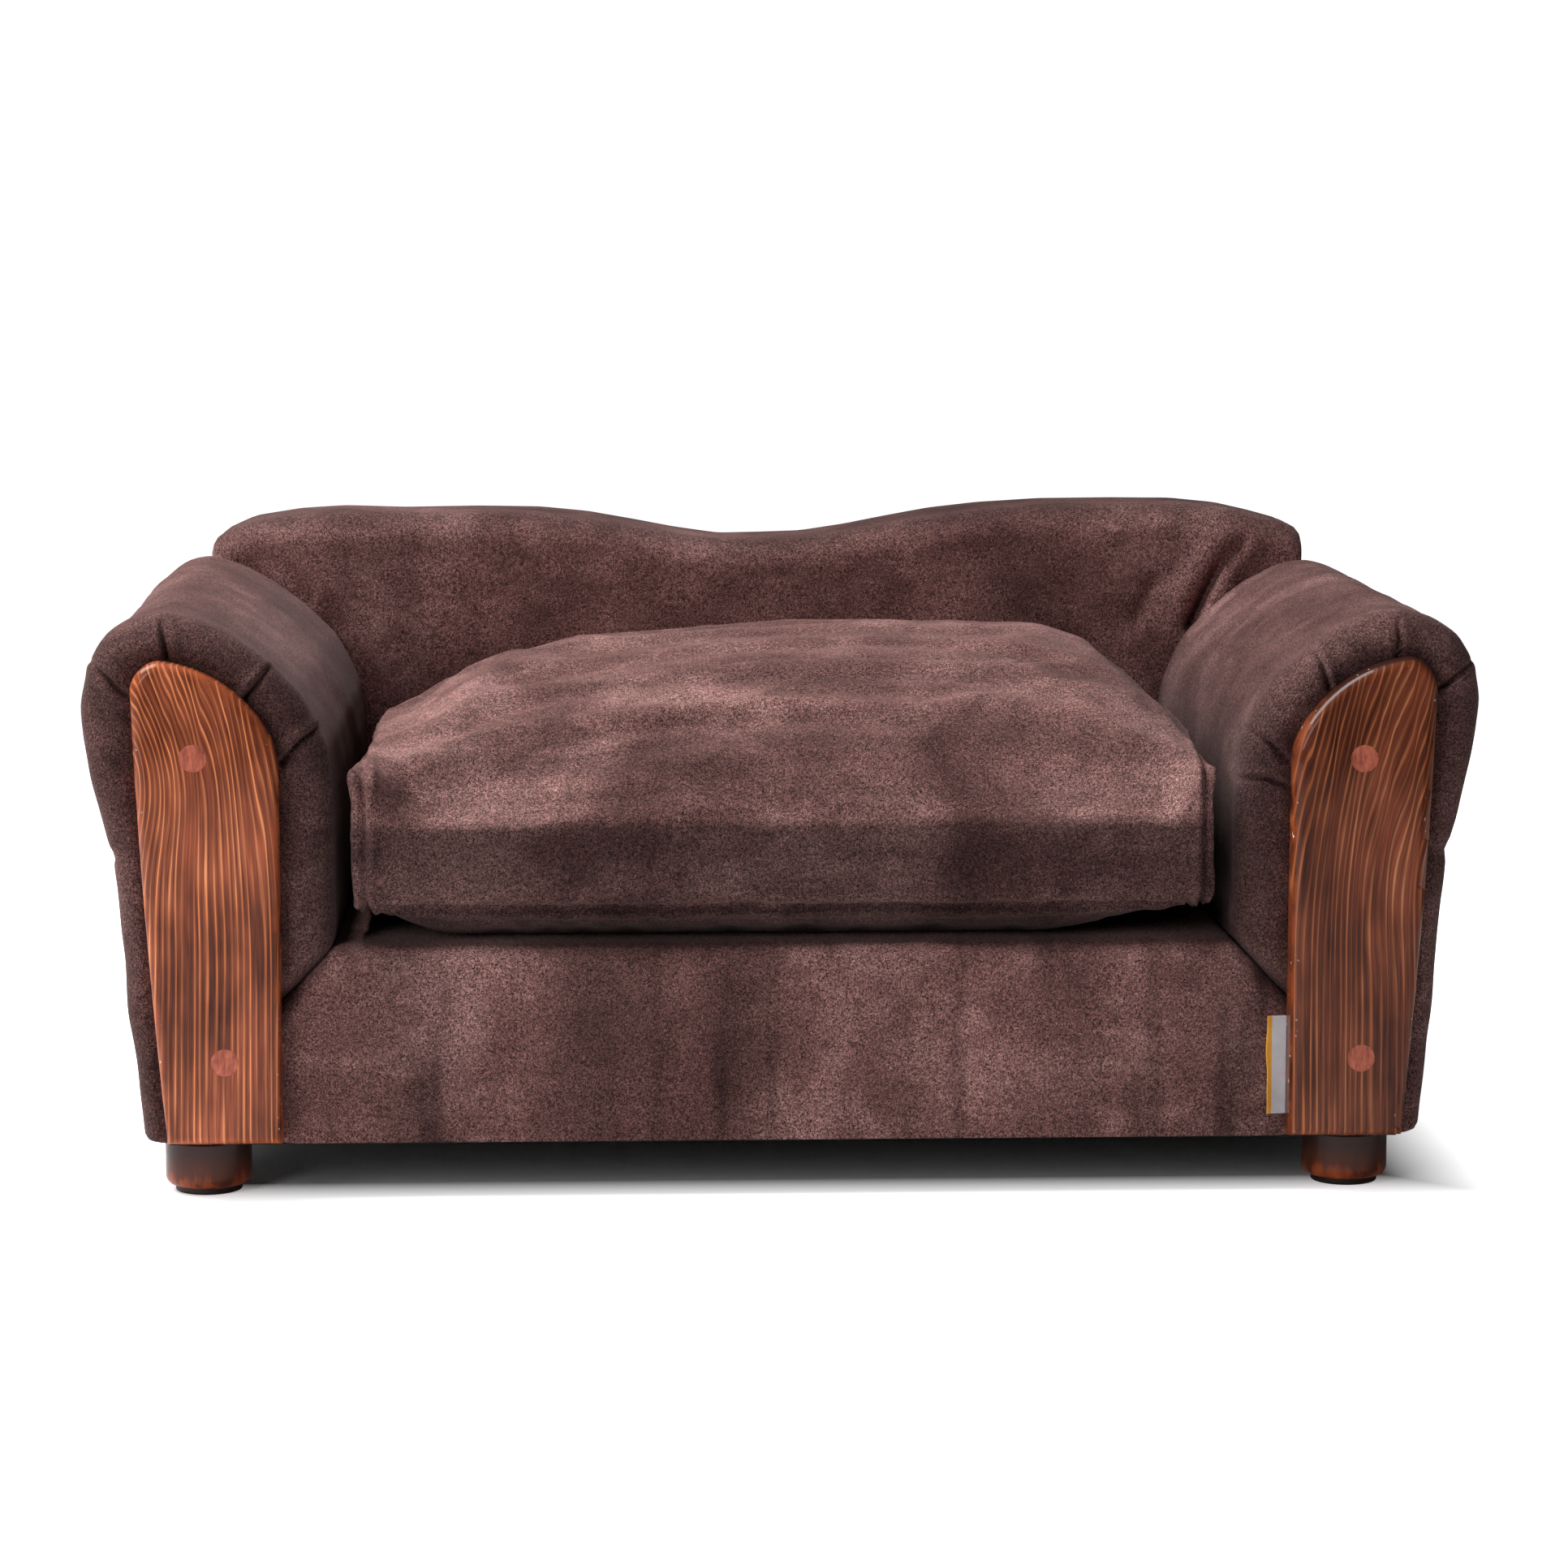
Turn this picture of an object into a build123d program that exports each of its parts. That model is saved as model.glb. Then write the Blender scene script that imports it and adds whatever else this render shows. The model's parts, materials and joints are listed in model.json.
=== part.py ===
"""Pet sofa: rolled arms with wood facing boards, padded base and back, and a loose cushion.

Frame: +X to the right as seen from the front, -Y is the front, +Z is up. The origin is
on the floor, under the centre of the sofa. Sizes are in millimetres. Left is -X.
"""
from build123d import *
import os

# ---- Overall sizes ----
overall_width = 638.0       # across the widest part of the arms' rolls
overall_depth = 400.0       # facing boards to the rear of the back
overall_height = 302.0      # floor to the top of the back's humps
arm_height = 271.0          # floor to the top of an arm's roll
seat_width = 416.0          # between the arms' inner faces
base_height = 117.0         # floor to the top of the base, under the cushion
back_thickness = 78.0

# ---- Materials' thicknesses and clearances ----
cover_thickness = 5.0       # suede with its wadding
foam_thickness = 12.0
plywood = 12.0
hardboard = 3.0
batten = 18.0
fit_gap = 0.2               # between layers that are pressed together
loose_gap = 0.3             # between pieces that move apart

# ---- Arms ----
arm_joint = 32.0            # how far the base reaches under each arm's inner face
mitre_drop = 33.0           # height of the slanted seam between base and arm
roll_inner_drop = 75.0      # where the inner face starts to roll, below the arm's top
roll_widest_drop = 45.0     # where the roll is widest, below the arm's top
roll_waist_drop = 115.0     # where the roll meets the outer face, below the arm's top
roll_apex_inset = 34.0      # highest line of the roll, in from its widest line
roll_waist_inset = 13.0
arm_foot_inset = 24.5       # outer face at the bottom, in from the roll's widest line
roll_rail_drop = 8.0        # the rail under the roll, below the roll board's highest line
front_roundover = 7.0

# ---- Facing boards ----
board_thickness = 15.0
board_roundover = 5.0
board_fullness = 0.92       # 1 is a quarter ellipse over the board's top, less is flatter
board_corner_radius = 25.0  # where the inner edge starts to roll
board_inner_reveal = 24.0   # arm fabric that shows beside the board's inner edge
board_top_reveal = 20.5
board_outer_reveal = 21.0
board_lift = 2.5            # board's lower edge above the frame's underside
board_foot_reveal = 10.0    # arm fabric outside the board at its foot
board_bow = 1.6             # how far the outer edge bows out
board_top_width = 12.0      # from the board's highest point to its outer edge
plug_radius = 6.35
plug_length = 6.0
screw_head_radius = 4.0
screw_head_length = 3.0
screw_radius = 2.0
screw_length = 26.0
screw_gap = 0.1
# Plugs, as (in from the board's inner edge, height): the upper one is measured down
# from the board's top, the lower one up from its bottom.
plug_places = {
    "left": {"upper": (37.8, 43.5), "lower": (25.5, 38.5)},
    "right": {"upper": (32.0, 46.1), "lower": (32.6, 36.7)},
}

# ---- Base ----
base_roundover = 12.0
deck_thickness = 9.0
rail_cover_gap = 3.0        # rails stop this far below the slanted seam
arm_bolt_radius = 3.0
arm_bolt_head = 6.0
arm_bolt_reach = 15.0       # length of a bolt inside an arm's bottom rail
bolt_head_length = 4.0
bolt_height = 28.0          # above the frame's underside
arm_bolt_inset = 75.0       # from the base's front and rear
back_bolt_spacing = 240.0
back_bolt_reach = 15.0

# ---- Back ----
dip_drop = 17.5             # centre of the wavy top, below the humps
dip_half_width = 55.0
dip_rise = 5.2
hump_centre = 185.0
ear_inset = 57.0            # end of the hump's long curve, in from the arms' widest line
ear_drop = 6.5
ear_tip_inset = 39.0
ear_tip_drop = 14.5
ear_side_inset = 36.0
ear_side_drop = 24.0
back_foot_inset = 29.0
back_roundover = 9.0
back_foam_thickness = 25.0
back_panel_margin = 1.0
back_rail_height = 55.0
back_post_width = 36.0
back_post_reach = 43.0      # outer side of a post, in from the arms' widest line
back_top_rail_drop = 46.0   # top of the rail below the humps
back_top_rail_height = 25.0

# ---- Feet ----
frame_underside = 26.0      # above the floor
dust_cover_thickness = 1.2
glide_thickness = 3.0
glide_radius = 15.5
glide_pin_radius = 1.5
glide_pin_length = 8.0
foot_radius = 20.0
foot_roundover = 4.5
# Feet's centres, in from the arms' widest line.
foot_side_insets = {"left": 50.0, "right": 55.0}
front_foot_inset = 40.0
rear_foot_inset = 22.0
hanger_bolt_radius = 3.0
hanger_bolt_up = 18.0
hanger_bolt_down = 5.0
insert_radius = 5.0
insert_length = 13.0
staple_length = 10.0
staple_width = 1.0
staple_thickness = 0.5
staple_inset = 8.0
staples_along = 9
staples_across = 5

# ---- Cushion ----
cushion_side_gap = 7.5
cushion_rear_gap = 22.0
cushion_skin = 3.0
cushion_crown = 136.0       # highest point above the base
cushion_front_height = 81.0
cushion_rear_height = 103.0
cushion_crown_place = 0.46  # share of the depth, from the front
cushion_seam_height = 18.0  # lower seam above the base
cushion_bottom_inset = 12.0
zip_end_margin = 30.5       # from the cushion's sides to the zip's ends
zip_height = 60.0           # above the base
zip_slot_width = 7.0
zip_tape_width = 14.0
zip_tape_thickness = 1.2
zip_teeth_width = 2.4
zip_teeth_thickness = 1.2
slider_length = 12.0
slider_width = 8.0
slider_thickness = 3.2
zip_pin_radius = 0.6
zip_pull_length = 12.0
zip_pull_width = 5.0
zip_pull_thickness = 0.9
zip_pull_gap = 0.15         # radial gap between the pull's eye and its pin

# ---- Side tag ----
tag_width = 9.3
tag_height = 46.0
tag_bottom = 37.0
tag_thickness = 1.2

# ---- Places worked out from the sizes ----
half_width = overall_width / 2
face_y = -overall_depth / 2
rear_y = overall_depth / 2
arm_front = face_y + board_thickness
back_front = rear_y - back_thickness
arm_rear = back_front - fit_gap
arm_inner = seat_width / 2
base_half = arm_inner + arm_joint
mitre_z = base_height - mitre_drop
layer = cover_thickness + fit_gap              # from a cover's outside to its filling
frame_inset = layer + foam_thickness + fit_gap  # from a cover's outside to the wood
board_inner = arm_inner + board_inner_reveal
board_top = arm_height - board_top_reveal
board_bottom = frame_underside + board_lift
rail_top = mitre_z - rail_cover_gap
rail_height = rail_top - frame_underside
bolt_z = frame_underside + bolt_height
zip_length = 2 * (arm_inner - cushion_side_gap - zip_end_margin)
former_front = arm_front + layer
former_rear = arm_rear - layer
SIDES = {"left": -1, "right": 1}
os.makedirs("parts", exist_ok=True)


def save(piece, name):
    """Label a finished piece and write its STEP file."""
    piece.part.label = name
    export_step(piece.part, f"parts/{name}.step")


def standing(y):
    """Upright plane at depth y that faces the front: its X and Y are the sofa's X and Z."""
    return Plane.XZ.offset(-y)


def prism(outline, y_front, y_rear):
    """Solid with a front outline, between two depths."""
    with BuildPart() as body:
        with BuildSketch(standing(y_rear)):
            add(outline)
        extrude(amount=y_rear - y_front)
    return body.part


def block(x_span, y_span, z_span):
    """Rectangular solid between two values on each axis."""
    with BuildPart() as body:
        with BuildSketch(Plane.XY.offset(z_span[0])):
            with Locations((sum(x_span) / 2, sum(y_span) / 2)):
                Rectangle(abs(x_span[1] - x_span[0]), y_span[1] - y_span[0])
        extrude(amount=z_span[1] - z_span[0])
    return body.part


def rod(start, direction, radius, length):
    """Round bar from a point along a direction."""
    with BuildPart() as body:
        with BuildSketch(Plane(origin=start, z_dir=direction)):
            Circle(radius)
        extrude(amount=length)
    return body.part


def mirrored(outline, side):
    """Right-hand outline, or its mirror image for the left."""
    return outline if side > 0 else mirror(outline, about=Plane.YZ)


def quarter_turn(start, end):
    """Where two tangent arcs meet that turn a vertical line into a level one.

    Returns that point, and the level direction in which the second arc leaves its end.
    """
    across = end[0] - start[0]
    rise = end[1] - start[1]
    sign = 1 if across > 0 else -1
    total = abs(across) + rise
    reach = ((total**2 + 2 * (across**2 + rise**2)) ** 0.5 - total) / 2
    middle = ((start[0] + end[0] - sign * reach) / 2, (start[1] + reach + end[1]) / 2)
    return middle, (-sign, 0)


# ---------------------------------------------------------------- outlines
def arm_outline(side, inset=0.0, joint_inset=0.0, below=0.0):
    """Front outline of an arm, drawn inset from the outside of its fabric.

    joint_inset is the inset of the flat side that meets the base, and below carries the
    outline past the frame's underside.
    """
    low = frame_underside - inset - below
    lean = (arm_foot_inset - roll_waist_inset) / (arm_height - roll_waist_drop - frame_underside)
    joint_x = base_half + joint_inset - inset
    joint_z = base_height - (joint_x - arm_inner) * mitre_drop / arm_joint
    roll_start = arm_height - roll_inner_drop
    apex_x = half_width - roll_apex_inset
    widest_z = arm_height - roll_widest_drop
    waist = (half_width - roll_waist_inset, arm_height - roll_waist_drop)
    foot_x = half_width - arm_foot_inset - lean * (frame_underside - low)
    with BuildSketch() as outline:
        with BuildLine():
            Polyline(
                (foot_x, low),
                (joint_x, low),
                (joint_x, joint_z),
                (arm_inner, base_height),
                (arm_inner, roll_start),
            )
            for start in ((arm_inner, roll_start), (half_width, widest_z)):
                middle, level = quarter_turn(start, (apex_x, arm_height))
                TangentArc(start, middle, tangent=(0, 1))
                TangentArc((apex_x, arm_height), middle, tangent=level)
            TangentArc((half_width, widest_z), waist, tangent=(0, -1))
            Line(waist, (foot_x, low))
        make_face()
        if inset > 0:
            offset(amount=-inset, kind=Kind.ARC)
    return mirrored(outline.sketch, side)


def board_outline(side):
    """Front outline of a facing board: flat inner edge, rolled top, leaning outer edge."""
    outer_top = half_width - board_outer_reveal
    foot_x = half_width - arm_foot_inset - board_foot_reveal
    apex_x = outer_top - board_top_width
    arc_start = board_top - (apex_x - board_inner) * 0.8
    diagonal = 0.5 ** 0.5
    reach = (apex_x - board_inner) * diagonal * board_fullness
    rise = (board_top - arc_start) * diagonal * board_fullness
    shoulder_z = board_top - board_top_width * 1.3
    shoulder_reach = board_top_width * diagonal
    shoulder_rise = (board_top - shoulder_z) * diagonal
    middle_x = (outer_top + foot_x) / 2 + board_bow
    middle_z = (shoulder_z + board_bottom) / 2
    with BuildSketch() as outline:
        with BuildLine():
            Polyline((foot_x, board_bottom), (board_inner, board_bottom), (board_inner, arc_start))
            ThreePointArc(
                (board_inner, arc_start),
                (apex_x - reach, arc_start + rise),
                (apex_x, board_top),
            )
            ThreePointArc(
                (apex_x, board_top),
                (apex_x + shoulder_reach, shoulder_z + shoulder_rise),
                (outer_top, shoulder_z),
            )
            ThreePointArc((outer_top, shoulder_z), (middle_x, middle_z), (foot_x, board_bottom))
        make_face()
        start = outline.vertices().sort_by_distance((board_inner, arc_start))[0]
        fillet(start, board_corner_radius)
    return mirrored(outline.sketch, side)


def base_outline(inset=0.0, below=0.0):
    """Front outline of the base, with the slanted corners that the arms sit over."""
    low = frame_underside - inset - below
    half = base_half - fit_gap
    top_half = arm_inner - fit_gap
    with BuildSketch() as outline:
        with BuildLine():
            Polyline(
                (-half, low),
                (half, low),
                (half, mitre_z),
                (top_half, base_height),
                (-top_half, base_height),
                (-half, mitre_z),
                close=True,
            )
        make_face()
        if inset > 0:
            offset(amount=-inset, kind=Kind.ARC)
    return outline.sketch


def back_outline(inset=0.0, below=0.0):
    """Front outline of the back: a dip between two humps, and an ear at each end."""
    low = frame_underside - inset - below
    top = overall_height
    ear = (half_width - ear_inset, top - ear_drop)
    tip = (half_width - ear_tip_inset, top - ear_tip_drop)
    side = (half_width - ear_side_inset, top - ear_side_drop)
    foot_x = half_width - back_foot_inset
    with BuildSketch() as outline:
        with BuildLine():
            dip = TangentArc(
                (0, top - dip_drop), (dip_half_width, top - dip_drop + dip_rise), tangent=(1, 0)
            )
            hump = TangentArc(dip @ 1, (hump_centre, top), tangent=dip % 1)
            TangentArc(hump @ 1, ear, tangent=(1, 0))
            Polyline(ear, tip, side, (foot_x, low), (0, low))
            mirror(about=Plane.YZ)
        make_face()
        if inset > 0:
            offset(amount=-inset, kind=Kind.ARC)
    return outline.sketch


# ---------------------------------------------------------------- arms
def plug_points(name):
    """Centres of a board's two plugs, as (X, Z)."""
    side = SIDES[name]
    upper = plug_places[name]["upper"]
    lower = plug_places[name]["lower"]
    return (
        (side * (board_inner + upper[0]), board_top - upper[1]),
        (side * (board_inner + lower[0]), board_bottom + lower[1]),
    )


def arm_bolt_points(side):
    """Where the arm's bolts cross the joint between base and arm, as (X, Y, Z)."""
    ends = (arm_front + arm_bolt_inset, arm_rear - arm_bolt_inset)
    return [(side * base_half, y, bolt_z) for y in ends]


def screw_holes(name, y_front, y_rear):
    """Clearance holes for a board's two screws, between two depths."""
    return [
        rod((x, y_rear, z), (0, -1, 0), screw_radius + screw_gap, y_rear - y_front)
        for x, z in plug_points(name)
    ]


def arm_bolt_holes(side):
    """Clearance holes for an arm's bolts, through everything near the joint."""
    reach = cover_thickness + fit_gap + batten + bolt_head_length
    return [
        rod((x - side * reach, y, z), (side, 0, 0), arm_bolt_radius + screw_gap, reach * 2)
        for x, y, z in arm_bolt_points(side)
    ]


def arm_cover(name):
    """Fabric of an arm: a box of fabric that is open underneath."""
    side = SIDES[name]
    with BuildPart() as cover:
        add(prism(arm_outline(side), arm_front, arm_rear))
        front_edges = cover.faces().sort_by(Axis.Y)[0].edges()
        fillet(front_edges.filter_by(lambda e: e.center().Z > frame_underside + 1), front_roundover)
        inside = arm_outline(side, cover_thickness, cover_thickness, 1)
        add(
            prism(inside, arm_front + cover_thickness, arm_rear - cover_thickness),
            mode=Mode.SUBTRACT,
        )
        add(screw_holes(name, arm_front - 1, arm_front + cover_thickness + 1), mode=Mode.SUBTRACT)
        add(arm_bolt_holes(side), mode=Mode.SUBTRACT)
    save(cover, f"arm_cover_{name}")


def arm_foam(name):
    """Foam wrapped over the arm's wood, from its inner face over the roll to the outside."""
    side = SIDES[name]
    with BuildPart() as foam:
        add(prism(arm_outline(side, layer, layer), former_front, former_rear))
        inside = arm_outline(side, layer + foam_thickness, layer, 1)
        add(prism(inside, former_front - 1, former_rear + 1), mode=Mode.SUBTRACT)
        keep = foam.solids().sort_by(SortBy.VOLUME)[-1]
        add(keep, mode=Mode.INTERSECT)
    save(foam, f"arm_foam_{name}")


def arm_formers(name):
    """Plywood shapes at the front and rear of an arm."""
    side = SIDES[name]
    outline = arm_outline(side, frame_inset, layer)
    with BuildPart() as front:
        add(prism(outline, former_front, former_front + plywood))
        holes = screw_holes(name, former_front - 1, former_front + plywood + 1)
        add(holes, mode=Mode.SUBTRACT)
    save(front, f"arm_front_former_{name}")
    with BuildPart() as rear:
        add(prism(outline, former_rear - plywood, former_rear))
    save(rear, f"arm_rear_former_{name}")


def arm_skins(name):
    """Hardboard inner panel, outer panel and roll board, bent over the formers' edges."""
    side = SIDES[name]
    y_front = former_front + plywood + fit_gap
    y_rear = former_rear - plywood - fit_gap
    roll_start = arm_height - roll_inner_drop
    waist_z = arm_height - roll_waist_drop
    x_split = half_width - roll_apex_inset
    inner_limit = arm_inner + frame_inset + batten
    spans = {
        "arm_inner_panel": ((arm_inner, inner_limit), (base_height + plywood, roll_start)),
        "arm_roll_board": ((arm_inner, half_width), (roll_start + fit_gap, arm_height)),
        "arm_outer_panel": ((x_split - batten, half_width), (rail_top, waist_z)),
    }
    for piece, (x_span, z_span) in spans.items():
        with BuildPart() as skin:
            add(prism(arm_outline(side, frame_inset, layer), y_front, y_rear))
            hollow = arm_outline(side, frame_inset + hardboard, layer - hardboard, 1)
            add(prism(hollow, y_front - 1, y_rear + 1), mode=Mode.SUBTRACT)
            span = block([side * x for x in x_span], (y_front, y_rear), z_span)
            add(span, mode=Mode.INTERSECT)
        save(skin, f"{piece}_{name}")


def foot_points():
    """Centres of the four feet, as name to (X, Y)."""
    depths = {"front": face_y + front_foot_inset, "rear": rear_y - rear_foot_inset}
    return {
        f"{end}_{name}": (side * (half_width - foot_side_insets[name]), y)
        for end, y in depths.items()
        for name, side in SIDES.items()
    }


def insert_holes():
    """Holes for the four threaded inserts, up from the frame's underside."""
    return [
        rod((x, y, frame_underside), (0, 0, 1), insert_radius, hanger_bolt_up + 2)
        for x, y in foot_points().values()
    ]


def arm_rails(name):
    """Solid wood rails between the formers: one under the roll, one along the bottom."""
    side = SIDES[name]
    y_span = (former_front + plywood + fit_gap, former_rear - plywood - fit_gap)
    bottom_inner = base_half + layer + fit_gap
    bottom_outer = half_width - arm_foot_inset - frame_inset - hardboard
    with BuildPart() as bottom:
        x_span = (side * bottom_inner, side * bottom_outer)
        add(block(x_span, y_span, (frame_underside, frame_underside + 2 * batten)))
        add(arm_bolt_holes(side), mode=Mode.SUBTRACT)
        add(insert_holes(), mode=Mode.SUBTRACT)
    save(bottom, f"arm_bottom_rail_{name}")
    apex_x = half_width - roll_apex_inset
    top_z = arm_height - frame_inset - hardboard - roll_rail_drop
    with BuildPart() as top:
        x_span = (side * (apex_x - batten), side * apex_x)
        add(block(x_span, y_span, (top_z - 2 * batten, top_z)))
    save(top, f"arm_top_rail_{name}")


def facing(name):
    """Facing board with counterbores for its screws and plugs."""
    side = SIDES[name]
    with BuildPart() as board:
        add(prism(board_outline(side), face_y, arm_front))
        fillet(board.faces().sort_by(Axis.Y)[0].edges(), board_roundover)
        bore = plug_length + screw_head_length
        for x, z in plug_points(name):
            hole = rod((x, face_y + bore, z), (0, -1, 0), plug_radius, bore + 1)
            add(hole, mode=Mode.SUBTRACT)
        add(screw_holes(name, face_y, arm_front + 1), mode=Mode.SUBTRACT)
    save(board, f"facing_board_{name}")
    with BuildPart() as plugs:
        for x, z in plug_points(name):
            start = (x, face_y + plug_length, z)
            add(rod(start, (0, -1, 0), plug_radius - screw_gap / 2, plug_length))
    save(plugs, f"facing_plugs_{name}")
    with BuildPart() as screws:
        for x, z in plug_points(name):
            start = (x, face_y + plug_length, z)
            add(rod(start, (0, 1, 0), screw_head_radius, screw_head_length))
            add(rod(start, (0, 1, 0), screw_radius, screw_length))
    save(screws, f"facing_screws_{name}")


# ---------------------------------------------------------------- base
def back_bolt_points():
    """Where the back's bolts cross the joint between base and back, as (X, Y, Z)."""
    return [(x, arm_rear, bolt_z) for x in (-back_bolt_spacing / 2, back_bolt_spacing / 2)]


def back_bolt_holes():
    """Clearance holes for the back's bolts."""
    reach = layer + batten + bolt_head_length
    return [
        rod((x, y - reach, z), (0, 1, 0), arm_bolt_radius + screw_gap, reach * 2)
        for x, y, z in back_bolt_points()
    ]


def rounded_base(inset, below, roundover):
    """Solid with the base's outline, drawn inset, with its upper front edge rounded."""
    with BuildPart() as body:
        add(prism(base_outline(inset, below), arm_front + inset, arm_rear - inset))
        top_edges = body.edges().filter_by(Axis.X).group_by(Axis.Z)[-1]
        fillet(top_edges.sort_by(Axis.Y)[0], roundover)
    return body.part


def base_cover():
    """Fabric of the base: front, top and ends, open underneath."""
    with BuildPart() as cover:
        add(rounded_base(0, 0, base_roundover))
        hollow = rounded_base(cover_thickness, 1, base_roundover - cover_thickness)
        add(hollow, mode=Mode.SUBTRACT)
        for side in SIDES.values():
            add(arm_bolt_holes(side), mode=Mode.SUBTRACT)
        add(back_bolt_holes(), mode=Mode.SUBTRACT)
    save(cover, "base_cover")


def base_frame():
    """Rails, slat, deck and seat foam inside the base."""
    y_front = arm_front + layer
    y_rear = arm_rear - layer
    half = base_half - fit_gap - layer
    z_span = (frame_underside, rail_top)
    for rail, y_span in (
        ("base_front_rail", (y_front, y_front + batten)),
        ("base_rear_rail", (y_rear - batten, y_rear)),
    ):
        with BuildPart() as cross:
            add(block((-half, half), y_span, z_span))
            add(back_bolt_holes(), mode=Mode.SUBTRACT)
        save(cross, rail)
    inner_span = (y_front + batten, y_rear - batten)
    for name, side in SIDES.items():
        with BuildPart() as end:
            add(block((side * (half - batten), side * half), inner_span, z_span))
            add(arm_bolt_holes(side), mode=Mode.SUBTRACT)
        save(end, f"base_end_rail_{name}")
    with BuildPart() as slat:
        add(block((-batten / 2, batten / 2), inner_span, z_span))
    save(slat, "base_centre_slat")
    deck_half = arm_inner - layer
    deck_top = rail_top + deck_thickness
    with BuildPart() as deck:
        add(block((-deck_half, deck_half), (y_front, y_rear), (rail_top, deck_top)))
    save(deck, "base_deck")
    foam_front = y_front + base_roundover - cover_thickness
    foam_half = deck_half - cover_thickness
    with BuildPart() as foam:
        z_foam = (deck_top, base_height - layer)
        add(block((-foam_half, foam_half), (foam_front, y_rear), z_foam))
    save(foam, "base_seat_foam")


def bolts():
    """Bolts from the base into the arms and into the back."""
    with BuildPart() as arm_bolts:
        for side in SIDES.values():
            grip = fit_gap + layer + batten
            for x, y, z in arm_bolt_points(side):
                head = (x - side * grip, y, z)
                length = grip + layer + fit_gap + arm_bolt_reach
                add(rod(head, (-side, 0, 0), arm_bolt_head, bolt_head_length))
                add(rod(head, (side, 0, 0), arm_bolt_radius, length))
    save(arm_bolts, "arm_bolts")
    with BuildPart() as back_bolts:
        for x, y, z in back_bolt_points():
            grip = layer + batten
            head = (x, y - grip, z)
            add(rod(head, (0, -1, 0), arm_bolt_head, bolt_head_length))
            add(rod(head, (0, 1, 0), arm_bolt_radius, grip + layer + back_bolt_reach))
    save(back_bolts, "back_bolts")


# ---------------------------------------------------------------- back
def back_cover():
    """Fabric of the back: a box of fabric that is open underneath."""
    with BuildPart() as cover:
        add(prism(back_outline(), back_front, rear_y))
        for face in (cover.faces().sort_by(Axis.Y)[0], cover.faces().sort_by(Axis.Y)[-1]):
            edges = face.edges().filter_by(lambda e: e.center().Z > frame_underside + 1)
            fillet(edges, back_roundover)
        inside = back_outline(cover_thickness, 1)
        add(
            prism(inside, back_front + cover_thickness, rear_y - cover_thickness),
            mode=Mode.SUBTRACT,
        )
        add(back_bolt_holes(), mode=Mode.SUBTRACT)
    save(cover, "back_cover")


def back_frame():
    """Wood and foam inside the back, from front to rear."""
    foam_span = (back_front + layer, back_front + layer + back_foam_thickness)
    panel_span = (foam_span[1] + fit_gap, foam_span[1] + fit_gap + plywood)
    post_span = (panel_span[1] + fit_gap, rear_y - layer)
    rail_top_z = frame_underside + back_rail_height
    inner_half = half_width - ear_side_inset - layer - back_foot_inset
    with BuildPart() as rail:
        add(block((-inner_half, inner_half), foam_span, (frame_underside, rail_top_z)))
        add(back_bolt_holes(), mode=Mode.SUBTRACT)
    save(rail, "back_bottom_rail")
    whole = back_outline(layer)
    above = block((-half_width, half_width), foam_span, (rail_top_z, overall_height))
    with BuildPart() as front_foam:
        add(prism(whole, *foam_span))
        add(above, mode=Mode.INTERSECT)
    save(front_foam, "back_front_foam")
    with BuildPart() as panel:
        add(prism(back_outline(layer + back_panel_margin), *panel_span))
        lower = block((-half_width, half_width), panel_span, (frame_underside, overall_height))
        add(lower, mode=Mode.INTERSECT)
    save(panel, "back_panel")
    top_z = overall_height - back_top_rail_drop
    outer = half_width - back_post_reach
    for name, side in SIDES.items():
        with BuildPart() as post:
            x_span = (side * (outer - back_post_width), side * outer)
            add(block(x_span, post_span, (frame_underside, top_z)))
            add(insert_holes(), mode=Mode.SUBTRACT)
        save(post, f"back_post_{name}")
    with BuildPart() as top_rail:
        reach = outer - back_post_width
        z_span = (top_z - back_top_rail_height, top_z)
        add(block((-reach, reach), post_span, z_span))
    save(top_rail, "back_top_rail")
    with BuildPart() as top_foam:
        add(prism(whole, *post_span))
        upper = block((-half_width, half_width), post_span, (top_z, overall_height))
        add(upper, mode=Mode.INTERSECT)
    save(top_foam, "back_top_foam")


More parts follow.
